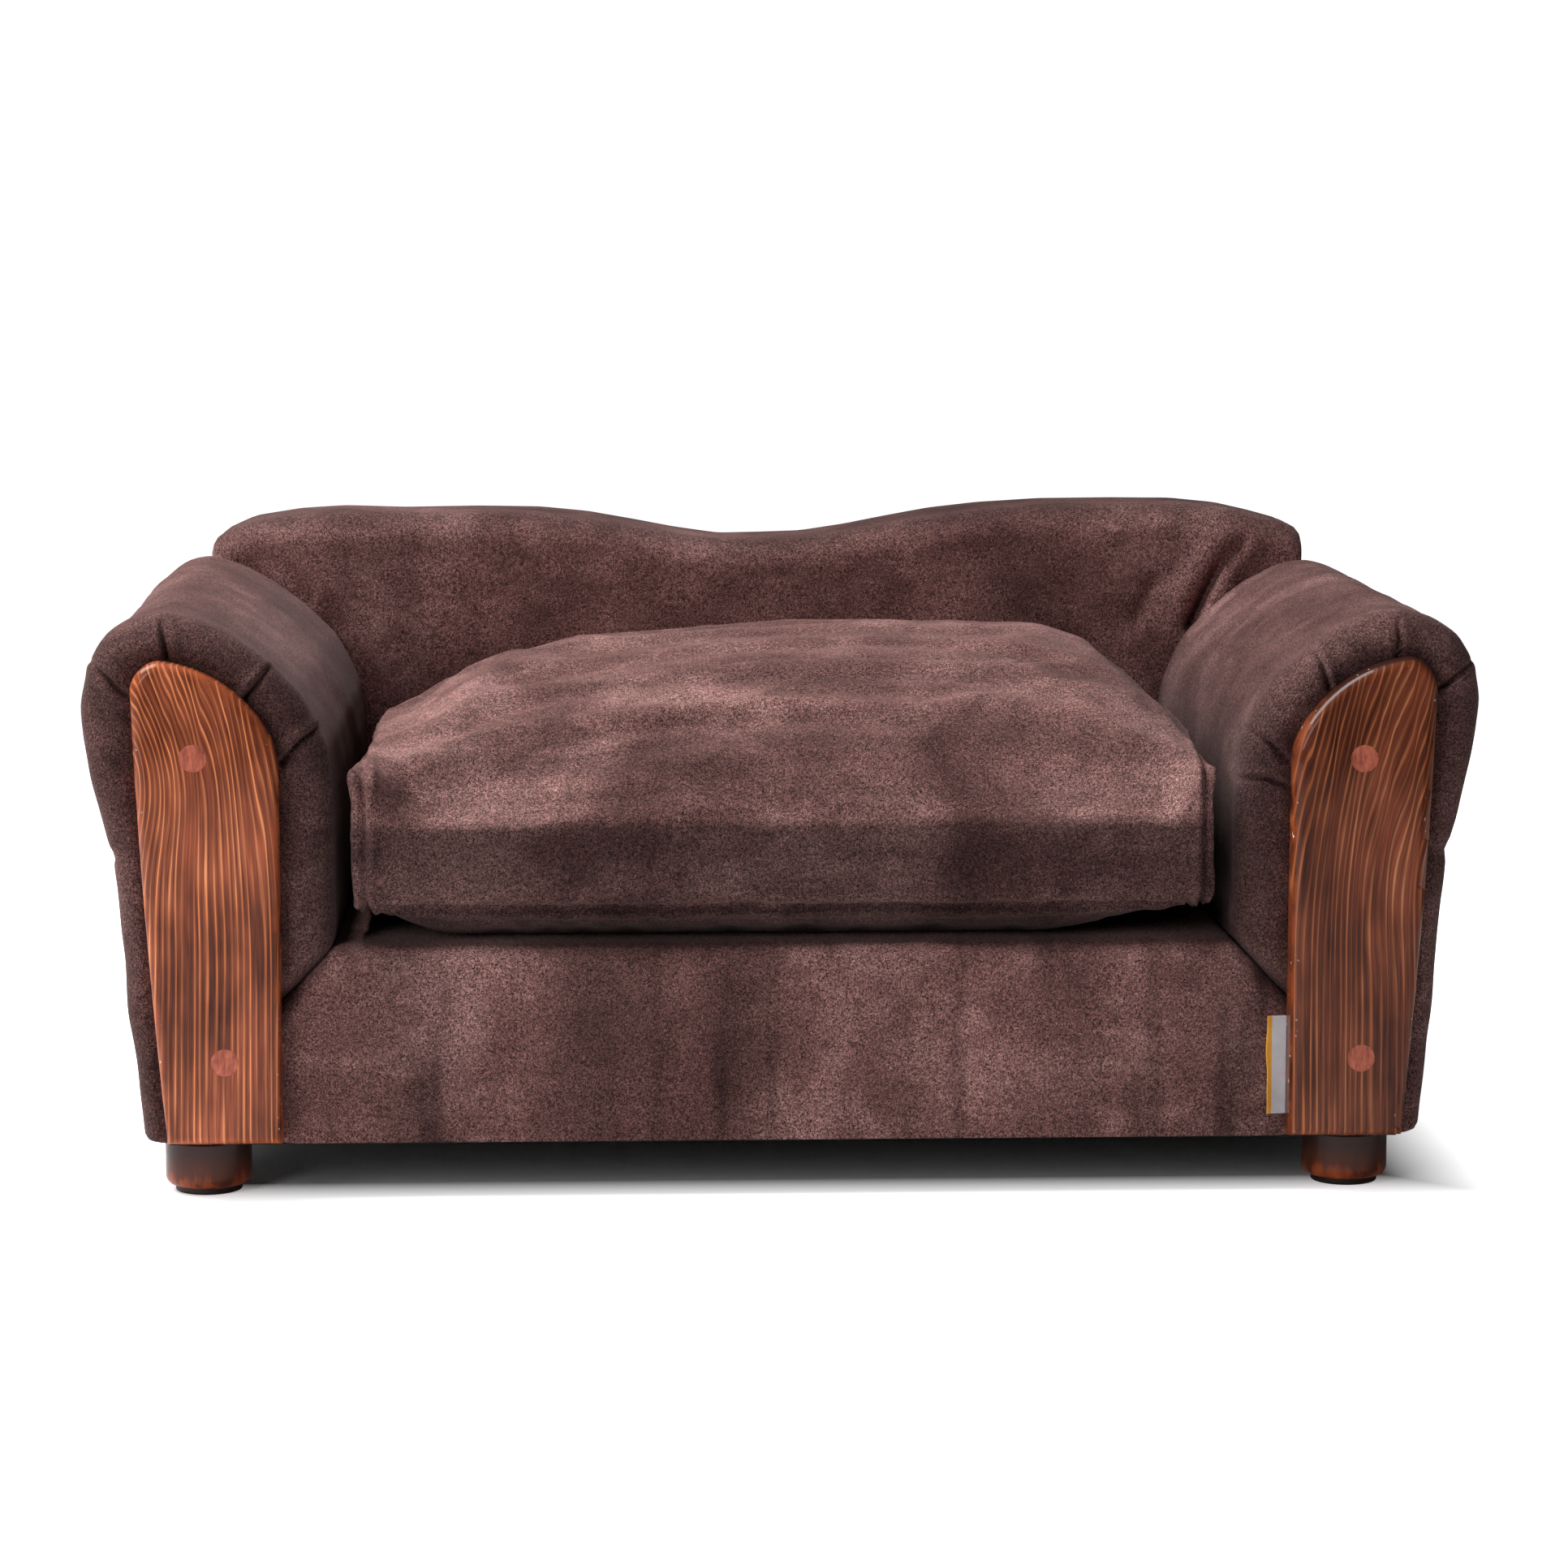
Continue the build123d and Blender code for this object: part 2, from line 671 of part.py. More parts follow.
# ---------------------------------------------------------------- feet and underside
def feet():
    """Turned feet with glides, and the bolts and inserts that hold them."""
    foot_top = frame_underside - dust_cover_thickness
    pin_hole = glide_pin_radius + screw_gap
    for name, (x, y) in foot_points().items():
        with BuildPart() as foot:
            add(rod((x, y, glide_thickness), (0, 0, 1), foot_radius, foot_top - glide_thickness))
            fillet(foot.faces().sort_by(Axis.Z)[0].edges(), foot_roundover)
            fillet(foot.faces().sort_by(Axis.Z)[-1].edges(), 1)
            bolt_hole = (x, y, foot_top - hanger_bolt_down)
            bolt_clear = hanger_bolt_radius + screw_gap
            add(rod(bolt_hole, (0, 0, 1), bolt_clear, hanger_bolt_down + 1), mode=Mode.SUBTRACT)
            pin_start = (x, y, glide_thickness - 1)
            add(rod(pin_start, (0, 0, 1), pin_hole, glide_pin_length + 1), mode=Mode.SUBTRACT)
        save(foot, f"foot_{name}")
        with BuildPart() as glide:
            add(rod((x, y, 0), (0, 0, 1), glide_radius, glide_thickness))
            fillet(glide.faces().sort_by(Axis.Z)[0].edges(), 1)
            add(rod((x, y, 0), (0, 0, 1), glide_pin_radius, glide_thickness + glide_pin_length))
        save(glide, f"glide_{name}")
    with BuildPart() as hanger_bolts:
        for x, y in foot_points().values():
            length = hanger_bolt_down + dust_cover_thickness + hanger_bolt_up
            add(rod((x, y, foot_top - hanger_bolt_down), (0, 0, 1), hanger_bolt_radius, length))
    save(hanger_bolts, "foot_hanger_bolts")
    with BuildPart() as inserts:
        for x, y in foot_points().values():
            start = (x, y, frame_underside)
            add(rod(start, (0, 0, 1), insert_radius - screw_gap / 2, insert_length))
            bore = hanger_bolt_radius + screw_gap
            add(rod(start, (0, 0, 1), bore, insert_length), mode=Mode.SUBTRACT)
    save(inserts, "foot_inserts")


def dust_cover():
    """Thin black cloth under the frame, and the staples along its edges."""
    half = half_width - back_foot_inset - cover_thickness
    y_span = (arm_front + cover_thickness, rear_y - cover_thickness)
    z_span = (frame_underside - dust_cover_thickness, frame_underside)
    with BuildPart() as cloth:
        add(block((-half, half), y_span, z_span))
        for x, y in foot_points().values():
            hole = rod((x, y, 0), (0, 0, 1), hanger_bolt_radius + screw_gap, frame_underside + 1)
            add(hole, mode=Mode.SUBTRACT)
    save(cloth, "dust_cover")
    y_middle = sum(y_span) / 2
    run = half - max(foot_side_insets.values())
    row_depth = y_span[1] - y_span[0] - 2 * staple_inset
    column_depth = rear_y - arm_front - 2 * (front_foot_inset + foot_radius)
    with BuildPart() as staples:
        with BuildSketch(Plane.XY.offset(z_span[0] - staple_thickness)):
            with Locations((0, y_middle)):
                with GridLocations(2 * run / (staples_along - 1), row_depth, staples_along, 2):
                    Rectangle(staple_length, staple_width)
                with GridLocations(
                    2 * (half - staple_inset), column_depth / (staples_across - 1), 2, staples_across
                ):
                    Rectangle(staple_width, staple_length)
        extrude(amount=staple_thickness)
    save(staples, "dust_cover_staples")


def side_tag():
    """Folded woven tag sewn in beside the right facing board."""
    with BuildPart() as tag:
        x_span = (board_inner - tag_width, board_inner)
        z_span = (tag_bottom, tag_bottom + tag_height)
        add(block(x_span, (arm_front - tag_thickness, arm_front), z_span))
    save(tag, "side_tag")


# ---------------------------------------------------------------- cushion
def cushion_solid(inset):
    """Boxed cushion with a crowned top, drawn inset from the outside of its cover."""
    low = base_height + loose_gap
    seam = base_height + cushion_seam_height
    half = arm_inner - cushion_side_gap
    y_front = arm_front
    y_rear = back_front - cushion_rear_gap
    y_crown = y_front + (y_rear - y_front) * cushion_crown_place
    front_z = base_height + cushion_front_height
    rear_z = base_height + cushion_rear_height
    crown_z = base_height + cushion_crown
    with BuildSketch() as front_view:
        with BuildLine():
            Polyline(
                (-half, front_z),
                (-half, seam),
                (-half + cushion_bottom_inset, low),
                (half - cushion_bottom_inset, low),
                (half, seam),
                (half, front_z),
            )
            ThreePointArc((half, front_z), (0, crown_z), (-half, front_z))
        make_face()
        if inset > 0:
            offset(amount=-inset, kind=Kind.ARC)
    with BuildSketch() as side_view:
        with BuildLine():
            Polyline(
                (y_front, front_z),
                (y_front, seam),
                (y_front + cushion_bottom_inset, low),
                (y_rear - cushion_bottom_inset, low),
                (y_rear, seam),
                (y_rear, rear_z),
            )
            crest = (y_crown, crown_z)
            TangentArc(crest, (y_rear, rear_z), tangent=(1, 0))
            TangentArc(crest, (y_front, front_z), tangent=(-1, 0))
        make_face()
        if inset > 0:
            offset(amount=-inset, kind=Kind.ARC)
    with BuildPart() as body:
        with BuildSketch(Plane.YZ.offset(-half - 1)):
            add(side_view.sketch)
        extrude(amount=2 * half + 2)
        add(prism(front_view.sketch, y_front - 1, y_rear + 1), mode=Mode.INTERSECT)
    return body.part


def cushion():
    """Loose cushion: cover with a zip along its rear side, and its filling."""
    rear = back_front - cushion_rear_gap
    zip_z = base_height + zip_height
    slot_half = zip_slot_width / 2
    with BuildPart() as cover:
        add(cushion_solid(0))
        add(cushion_solid(cushion_skin), mode=Mode.SUBTRACT)
        slot = block(
            (-zip_length / 2, zip_length / 2),
            (rear - cushion_skin - 1, rear + 1),
            (zip_z - slot_half, zip_z + slot_half),
        )
        add(slot, mode=Mode.SUBTRACT)
    save(cover, "cushion_cover")
    with BuildPart() as core:
        add(cushion_solid(cushion_skin + fit_gap))
    save(core, "cushion_core")


def zipper():
    """Zip tape with its teeth, the slider that runs on them and the slider's pull."""
    rear = back_front - cushion_rear_gap
    zip_z = base_height + zip_height
    half = zip_length / 2 + slider_length / 2
    tape_y = rear + zip_tape_thickness
    teeth_y = tape_y + zip_teeth_thickness
    tape_half = zip_tape_width / 2
    teeth_half = zip_teeth_width / 2
    with BuildPart() as tape:
        add(block((-half, half), (rear, tape_y), (zip_z - tape_half, zip_z + tape_half)))
        add(block((-half, half), (tape_y, teeth_y), (zip_z - teeth_half, zip_z + teeth_half)))
    save(tape, "cushion_zip_tape")
    slider_half = slider_width / 2
    slider_y = tape_y + loose_gap
    slider_rear = slider_y + slider_thickness
    groove_half = teeth_half + loose_gap
    x_end = zip_length / 2
    pin_x = x_end
    pin_y = slider_rear + zip_pin_radius + zip_pull_gap + zip_pull_thickness + loose_gap
    post = zip_pull_width / 2 + loose_gap
    with BuildPart() as slider:
        x_span = (x_end - slider_length / 2, x_end + slider_length / 2)
        z_span = (zip_z - slider_half, zip_z + slider_half)
        add(block(x_span, (slider_y, slider_rear), z_span))
        vertical = slider.edges().filter_by(Axis.Y)
        fillet(vertical, 2)
        groove = block(
            (x_span[0] - 1, x_span[1] + 1),
            (slider_y - 1, teeth_y + loose_gap),
            (zip_z - groove_half, zip_z + groove_half),
        )
        add(groove, mode=Mode.SUBTRACT)
        for end in (-1, 1):
            z_low = zip_z + end * (post + 0.5) - 0.5
            ear = block(
                (pin_x - 1.2, pin_x + 1.2),
                (slider_rear - 0.5, pin_y + 1),
                (z_low, z_low + 1),
            )
            add(ear)
        add(rod((pin_x, pin_y, zip_z - post), (0, 0, 1), zip_pin_radius, 2 * post))
    save(slider, "zip_slider")
    eye = zip_pin_radius + zip_pull_gap
    with BuildPart() as pull:
        start = (pin_x, pin_y, zip_z - zip_pull_width / 2)
        add(rod(start, (0, 0, 1), eye + zip_pull_thickness, zip_pull_width))
        tab = block(
            (pin_x - zip_pull_length, pin_x),
            (pin_y - zip_pull_thickness / 2, pin_y + zip_pull_thickness / 2),
            (zip_z - zip_pull_width / 2, zip_z + zip_pull_width / 2),
        )
        add(tab)
        add(rod(start, (0, 0, 1), eye, zip_pull_width), mode=Mode.SUBTRACT)
    save(pull, "zip_pull")


for arm in SIDES:
    arm_cover(arm)
    arm_foam(arm)
    arm_formers(arm)
    arm_skins(arm)
    arm_rails(arm)
    facing(arm)
base_cover()
base_frame()
bolts()
back_cover()
back_frame()
feet()
dust_cover()
side_tag()
cushion()
zipper()
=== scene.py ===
"""Looks of the pet sofa: suede upholstery, stained wood facings and feet, and a soft cushion."""
import json
import math

import bmesh
import bpy
import numpy as np
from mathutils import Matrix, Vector


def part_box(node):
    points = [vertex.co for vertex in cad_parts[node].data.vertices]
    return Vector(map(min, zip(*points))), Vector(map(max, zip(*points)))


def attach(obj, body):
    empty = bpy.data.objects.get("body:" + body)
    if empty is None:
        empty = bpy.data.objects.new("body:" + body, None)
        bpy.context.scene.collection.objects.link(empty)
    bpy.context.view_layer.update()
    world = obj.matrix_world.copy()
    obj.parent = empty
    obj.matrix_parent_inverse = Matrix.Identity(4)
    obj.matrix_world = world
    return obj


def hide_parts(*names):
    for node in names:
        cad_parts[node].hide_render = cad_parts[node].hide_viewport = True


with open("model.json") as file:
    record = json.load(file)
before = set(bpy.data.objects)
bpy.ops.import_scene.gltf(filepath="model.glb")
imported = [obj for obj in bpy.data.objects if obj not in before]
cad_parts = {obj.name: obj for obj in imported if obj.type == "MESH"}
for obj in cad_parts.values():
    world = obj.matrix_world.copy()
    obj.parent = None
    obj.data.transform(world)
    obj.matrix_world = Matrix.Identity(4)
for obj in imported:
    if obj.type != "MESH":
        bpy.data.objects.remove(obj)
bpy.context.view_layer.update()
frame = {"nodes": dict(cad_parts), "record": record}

MM = 0.001


def box_mm(node):
    """Lowest and highest corner of a CAD node, in millimetres."""
    low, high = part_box(node)
    return np.array(low) / MM, np.array(high) / MM


# -------- sizes from the frame, in mm
arm_low, arm_high = box_mm("arm_cover_right")
base_low, base_high = box_mm("base_cover")
back_low, back_high = box_mm("back_cover")
cushion_low, cushion_high = box_mm("cushion_cover")
foot_low, foot_high = box_mm("foot_front_right")
tag_low, tag_high = box_mm("side_tag")

HEM_LIFT = 0.4              # hems lie this far above the dust cover
SEAM_RISE = 17.5            # lower seam above the underside
FRONT_FOLD = 57.0           # the cushion's front is upright up to this far above its underside
HEM_WIDTH = 12.0            # fabric turned in under the frame
BOARD_BACK = box_mm("facing_board_right")[1][1]  # depth of the boards' rear face


# -------- small tools
def smoothstep(low, high, value):
    """0 below low, 1 above high, and a smooth rise between."""
    t = np.clip((value - low) / (high - low), 0, 1)
    return t * t * (3 - 2 * t)


def bell(distance, width):
    """Gaussian hump of height 1."""
    return np.exp(-((distance / width) ** 2))


def line_lengths(points):
    """Length along a line of points, at each point."""
    steps = np.linalg.norm(np.diff(points, axis=0), axis=1)
    return np.concatenate([[0], np.cumsum(steps)])


def along(points, places):
    """Points at given lengths along a line of points."""
    lengths = line_lengths(points)
    return np.stack([np.interp(places, lengths, points[:, k]) for k in range(points.shape[1])], 1)


def rounded_line(points, radius, step=1.0):
    """A line through points, with corners rounded to about the radius, at even steps."""
    points = np.array(points, dtype=float)
    count = int(line_lengths(points)[-1] / step) + 1
    line = along(points, np.linspace(0, line_lengths(points)[-1], count))
    reach = max(1, int(radius / step))
    offsets = np.arange(-2 * reach, 2 * reach + 1)
    weights = bell(offsets, reach)
    weights = weights / weights.sum()
    ends = np.concatenate([[line[0]] * (2 * reach), line, [line[-1]] * (2 * reach)])
    return np.stack([np.convolve(ends[:, k], weights, "valid") for k in range(line.shape[1])], 1)


def resampled(points, step, spots=(), fine_step=1.0, reach=1.0):
    """Points along a line at a step, closer together near spots given as lengths along it."""
    length = line_lengths(points)[-1]
    place, places = 0.0, [0.0]
    while place < length:
        near = any(abs(place - spot) < reach for spot in spots)
        place += fine_step if near else step
        places.append(min(place, length))
    return along(points, np.array(places))


def nearest_place(points, target):
    """Length along a line of points at the point nearest a target."""
    distances = np.linalg.norm(points - np.array(target), axis=1)
    return line_lengths(points)[distances.argmin()]


def value_noise(grid, size, seed):
    """Smooth noise, mostly from -1 to 1, over points in mm: a sum of a few tilted waves."""
    random = np.random.default_rng(seed)
    points = grid.reshape(-1, 3)
    total = np.zeros(len(points))
    for _ in range(9):
        direction = random.normal(size=3)
        direction /= np.linalg.norm(direction)
        wave = random.uniform(0.6, 1.6) * 2 * math.pi / size
        total += np.sin(points @ direction * wave + random.uniform(0, 2 * math.pi))
    return (total / 4).reshape(grid.shape[:-1])


def new_object(name, grid, faces):
    """New object in the scene from a grid of points in mm and its faces."""
    mesh = bpy.data.meshes.new(name)
    mesh.from_pydata((grid.reshape(-1, 3) * MM).tolist(), [], faces)
    obj = bpy.data.objects.new(name, mesh)
    bpy.context.scene.collection.objects.link(obj)
    return obj


def grid_mesh(name, grid):
    """Open mesh from rows of points."""
    rows, columns = grid.shape[:2]
    faces = []
    for i in range(rows - 1):
        for j in range(columns - 1):
            a, b = i * columns + j, (i + 1) * columns + j
            faces.append((a, a + 1, b + 1, b))
    obj = new_object(name, grid, faces)
    tidy_mesh(obj, 0.02)
    return obj


def loops_mesh(name, grid):
    """Closed mesh from rows of closed outlines, with a face at each end."""
    rows, columns = grid.shape[:2]
    faces = [tuple(range(columns))[::-1]]
    for i in range(rows - 1):
        for j in range(columns):
            k = (j + 1) % columns
            a, b = i * columns, (i + 1) * columns
            faces.append((a + j, a + k, b + k, b + j))
    faces.append(tuple((rows - 1) * columns + j for j in range(columns)))
    return new_object(name, grid, faces)


def tidy_mesh(obj, merge):
    """Joins points that coincide, drops faces with no area, and turns the faces outwards."""
    shape = bmesh.new()
    shape.from_mesh(obj.data)
    bmesh.ops.remove_doubles(shape, verts=shape.verts, dist=merge * MM)
    bmesh.ops.dissolve_degenerate(shape, dist=merge * MM * 0.5, edges=shape.edges)
    bmesh.ops.recalc_face_normals(shape, faces=shape.faces)
    shape.to_mesh(obj.data)
    shape.free()
    for face in obj.data.polygons:
        face.use_smooth = True


def outward(grid, middle, closed=False):
    """Unit normals of a grid, all turned away from a middle point; closed joins its columns."""
    if closed:
        across = np.roll(grid, -1, 1) - np.roll(grid, 1, 1)
    else:
        across = np.gradient(grid, axis=1)
    normals = np.cross(np.gradient(grid, axis=0), across)
    normals /= np.maximum(np.linalg.norm(normals, axis=2, keepdims=True), 1e-9)
    return normals * np.sign(np.sum(normals * (grid - middle)))


def finish_piece(obj, body, material, replaced):
    """Rides a piece on its body, gives it its material and hides the CAD nodes it replaces."""
    obj.data.materials.clear()
    obj.data.materials.append(material)
    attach(obj, body)
    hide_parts(*replaced)


# -------- node materials
class Nodes:
    """Short way to write a node material."""

    def __init__(self, name):
        self.material = bpy.data.materials.new(name)
        self.material.use_nodes = True
        self.tree = self.material.node_tree
        self.shader = self.tree.nodes["Principled BSDF"]
        self.place = self.tree.nodes.new("ShaderNodeTexCoord").outputs["Object"]
        self.x, self.y, self.z = (self.axis(self.place, letter) for letter in "XYZ")

    def set(self, **values):
        for name, value in values.items():
            self.shader.inputs[name.replace("_", " ")].default_value = value

    def link(self, source, target):
        self.tree.links.new(source, target)

    def node(self, kind, inputs=None, **settings):
        node = self.tree.nodes.new(kind)
        for name, value in settings.items():
            setattr(node, name, value)
        for name, value in (inputs or {}).items():
            socket = node.inputs[name]
            if isinstance(value, bpy.types.NodeSocket):
                self.link(value, socket)
            else:
                socket.default_value = value
        return node

    def scaled(self, source, scale, shift=(0, 0, 0)):
        """Coordinates stretched by a scale on each axis."""
        inputs = {"Vector": source, "Scale": scale, "Location": shift}
        return self.node("ShaderNodeMapping", inputs).outputs["Vector"]

    def noise(self, source, scale, detail=2.0, roughness=0.5, distortion=0.0):
        inputs = {
            "Vector": source, "Scale": scale, "Detail": detail,
            "Roughness": roughness, "Distortion": distortion,
        }
        return self.node("ShaderNodeTexNoise", inputs).outputs["Fac"]

    def streaks(self, source, scale, detail=2.0, roughness=0.5):
        """Noise with its own scale on each axis."""
        return self.noise(self.scaled(source, scale), 1.0, detail, roughness)

    def ramp(self, factor, stops):
        """Colour ramp from (place, colour) stops."""
        node = self.node("ShaderNodeValToRGB", {"Fac": factor})
        ramp = node.color_ramp
        while len(ramp.elements) < len(stops):
            ramp.elements.new(0.5)
        for element, (place, colour) in zip(ramp.elements, stops):
            element.position = place
            element.color = (*colour, 1)
        return node.outputs["Color"]

    def grey(self, factor, low, high, to_low=0.0, to_high=1.0):
        inputs = {
            "Value": factor, "From Min": low, "From Max": high,
            "To Min": to_low, "To Max": to_high,
        }
        return self.node("ShaderNodeMapRange", inputs).outputs["Result"]

    def math(self, operation, first, second=0.0):
        node = self.node("ShaderNodeMath", {0: first, 1: second}, operation=operation)
        return node.outputs[0]

    def mix(self, factor, first, second, blend="MIX"):
        node = self.node("ShaderNodeMix", data_type="RGBA", blend_type=blend)
        for index, value in ((0, factor), (6, first), (7, second)):
            if isinstance(value, bpy.types.NodeSocket):
                self.link(value, node.inputs[index])
            elif index == 0:
                node.inputs[0].default_value = value
            else:
                node.inputs[index].default_value = (*value, 1)
        return node.outputs[2]

    def times(self, first, second):
        return self.math("MULTIPLY", first, second)

    def plus(self, first, second):
        return self.math("ADD", first, second)

    def blend(self, first, second, share):
        """Mean of two values, with the share given to the first."""
        rest = self.times(second, 1 - share)
        return self.plus(self.times(first, share), rest)

    def dimmed(self, colour, factor):
        """Colour multiplied by a value."""
        level = {"Red": factor, "Green": factor, "Blue": factor}
        grey = self.node("ShaderNodeCombineColor", level).outputs["Color"]
        return self.mix(1.0, colour, grey, "MULTIPLY")

    def axis(self, source, name):
        return self.node("ShaderNodeSeparateXYZ", {"Vector": source}).outputs[name]

    def facing(self, name):
        """How far the surface faces along an axis."""
        return self.axis(self.node("ShaderNodeNewGeometry").outputs["Normal"], name)

    def weave(self, pitch):
        """Plain weave, as two crossed waves of threads at a pitch in mm."""
        turns = 2 * math.pi / (pitch * MM)
        waves = [self.math("SINE", self.times(axis, turns)) for axis in (self.x, self.z)]
        return self.grey(self.times(*waves), -1.0, 1.0)

    def bump(self, height, strength, distance, normal=None):
        inputs = {"Height": height, "Strength": strength, "Distance": distance}
        if normal is not None:
            inputs["Normal"] = normal
        return self.node("ShaderNodeBump", inputs).outputs["Normal"]

    def finish(self, colour=None, roughness=None, normal=None):
        for name, source in (("Base Color", colour), ("Roughness", roughness), ("Normal", normal)):
            if source is not None:
                self.link(source, self.shader.inputs[name])
        return self.material


def toned(colour, tone):
    """Colour made lighter or darker by a factor."""
    return [min(channel * tone, 1) for channel in colour]


def suede_material(name, painted_light_level, strokes):
    """Brushed brown suede: mottled nap, fine bright grain and a pinkish sheen.

    The strokes function returns a factor for how the nap was brushed there, with painted light and
    shade on some pieces. The painted light level makes lighter or darker copies of the one suede,
    as painted light and shade.
    """
    n = Nodes(name)
    clouds = n.noise(n.place, 10.0, 3.0, 0.55, 0.5)
    patches = n.noise(n.scaled(n.place, (1, 1, 1.7)), 42.0, 4.0, 0.62, 0.8)
    nap = n.noise(n.place, 700.0, 2.0, 0.7)
    grain = n.noise(n.place, 1500.0, 2.0, 0.8)
    tone = n.ramp(n.blend(clouds, patches, 0.65), [
        (0.36, toned((0.062, 0.0280, 0.0255), painted_light_level)),
        (0.50, toned((0.106, 0.0515, 0.0470), painted_light_level)),
        (0.64, toned((0.185, 0.0985, 0.0910), painted_light_level)),
    ])
    fleck = n.grey(grain, 0.34, 0.70, 0.0, 2.6)
    soft = n.grey(nap, 0.34, 0.66, 0.55, 1.45)
    colour = n.dimmed(tone, n.times(n.times(fleck, soft), strokes(n)))
    coarse = n.bump(nap, 0.45, 0.0008)
    fine = n.bump(grain, 0.55, 0.0004, coarse)
    n.set(Sheen_Weight=0.10, Sheen_Roughness=0.40, Sheen_Tint=(1.0, 0.78, 0.76, 1))
    n.set(Specular_IOR_Level=0.12)
    return n.finish(colour, n.grey(patches, 0.3, 0.7, 0.80, 0.96), fine)


def cushion_nap_painted_light_and_shade(n):
    """Painted shade over the lower front and below the lower seam, painted light over the top, and
    nap in long level strokes over the top.
    """
    wander = n.streaks(n.place, (9, 9, 9), 3.0, 0.6)
    edge = (cushion_low[2] + FRONT_FOLD) * MM
    height = n.plus(n.z, n.times(wander, 0.006))
    # painted light and shade: darker below the front's fold line, lighter above it, and darker
    # below the lower seam, where the fabric faces down
    upper = n.grey(height, edge + 0.0005, edge + 0.0050, 0.55, 1.12)
    seam = (cushion_low[2] + SEAM_RISE) * MM
    upper = n.times(upper, n.grey(n.z, seam - 0.002, seam + 0.001, 0.55, 1.0))
    streaks = n.streaks(n.place, (7, 60, 60), 3.0, 0.55)
    return n.times(upper, n.grey(streaks, 0.32, 0.68, 0.82, 1.19))


def base_strokes(n):
    """Nap brushed in broad upright strokes."""
    bands = n.streaks(n.place, (16, 5, 2.0), 1.0, 0.4)
    lines = n.streaks(n.place, (46, 5, 5.0), 2.0, 0.5)
    narrow = n.grey(lines, 0.32, 0.44, 0.52, 1.05)
    return n.times(narrow, n.grey(bands, 0.36, 0.64, 0.78, 1.25))


def back_nap_and_painted_shade(n):
    """Painted shade over the top edge, darker the more the surface faces up, with patches of nap.
    """
    # painted shade: the suede is darker the more it faces up
    flat = n.grey(n.facing("Z"), 0.15, 0.85, 1.0, 0.42)
    patches = n.streaks(n.place, (20, 20, 9), 2.0, 0.5)
    return n.times(flat, n.grey(patches, 0.34, 0.66, 0.82, 1.2))


def arm_nap_and_painted_shade(n):
    """Nap brushed along the roll, with painted shade darkening the front band and down the inner
    side.
    """
    streaks = n.streaks(n.place, (32, 5, 32), 2.0, 0.5)
    front = arm_low[1] * MM
    # painted shade: darker over the front band and down the inner side
    painted_arm_shade = n.grey(n.y, front + 0.004, front + 0.018, 0.80, 1.0)
    painted_arm_shade = n.times(painted_arm_shade, n.grey(n.math("ABSOLUTE", n.x), 0.209, 0.236, 0.50, 1.0))
    return n.times(painted_arm_shade, n.grey(streaks, 0.32, 0.68, 0.84, 1.12))


LINES_PER_METRE = 335.0     # growth lines across a facing board
SWIRL_REACH = 0.036         # height over which the lines swing out and back, in metres


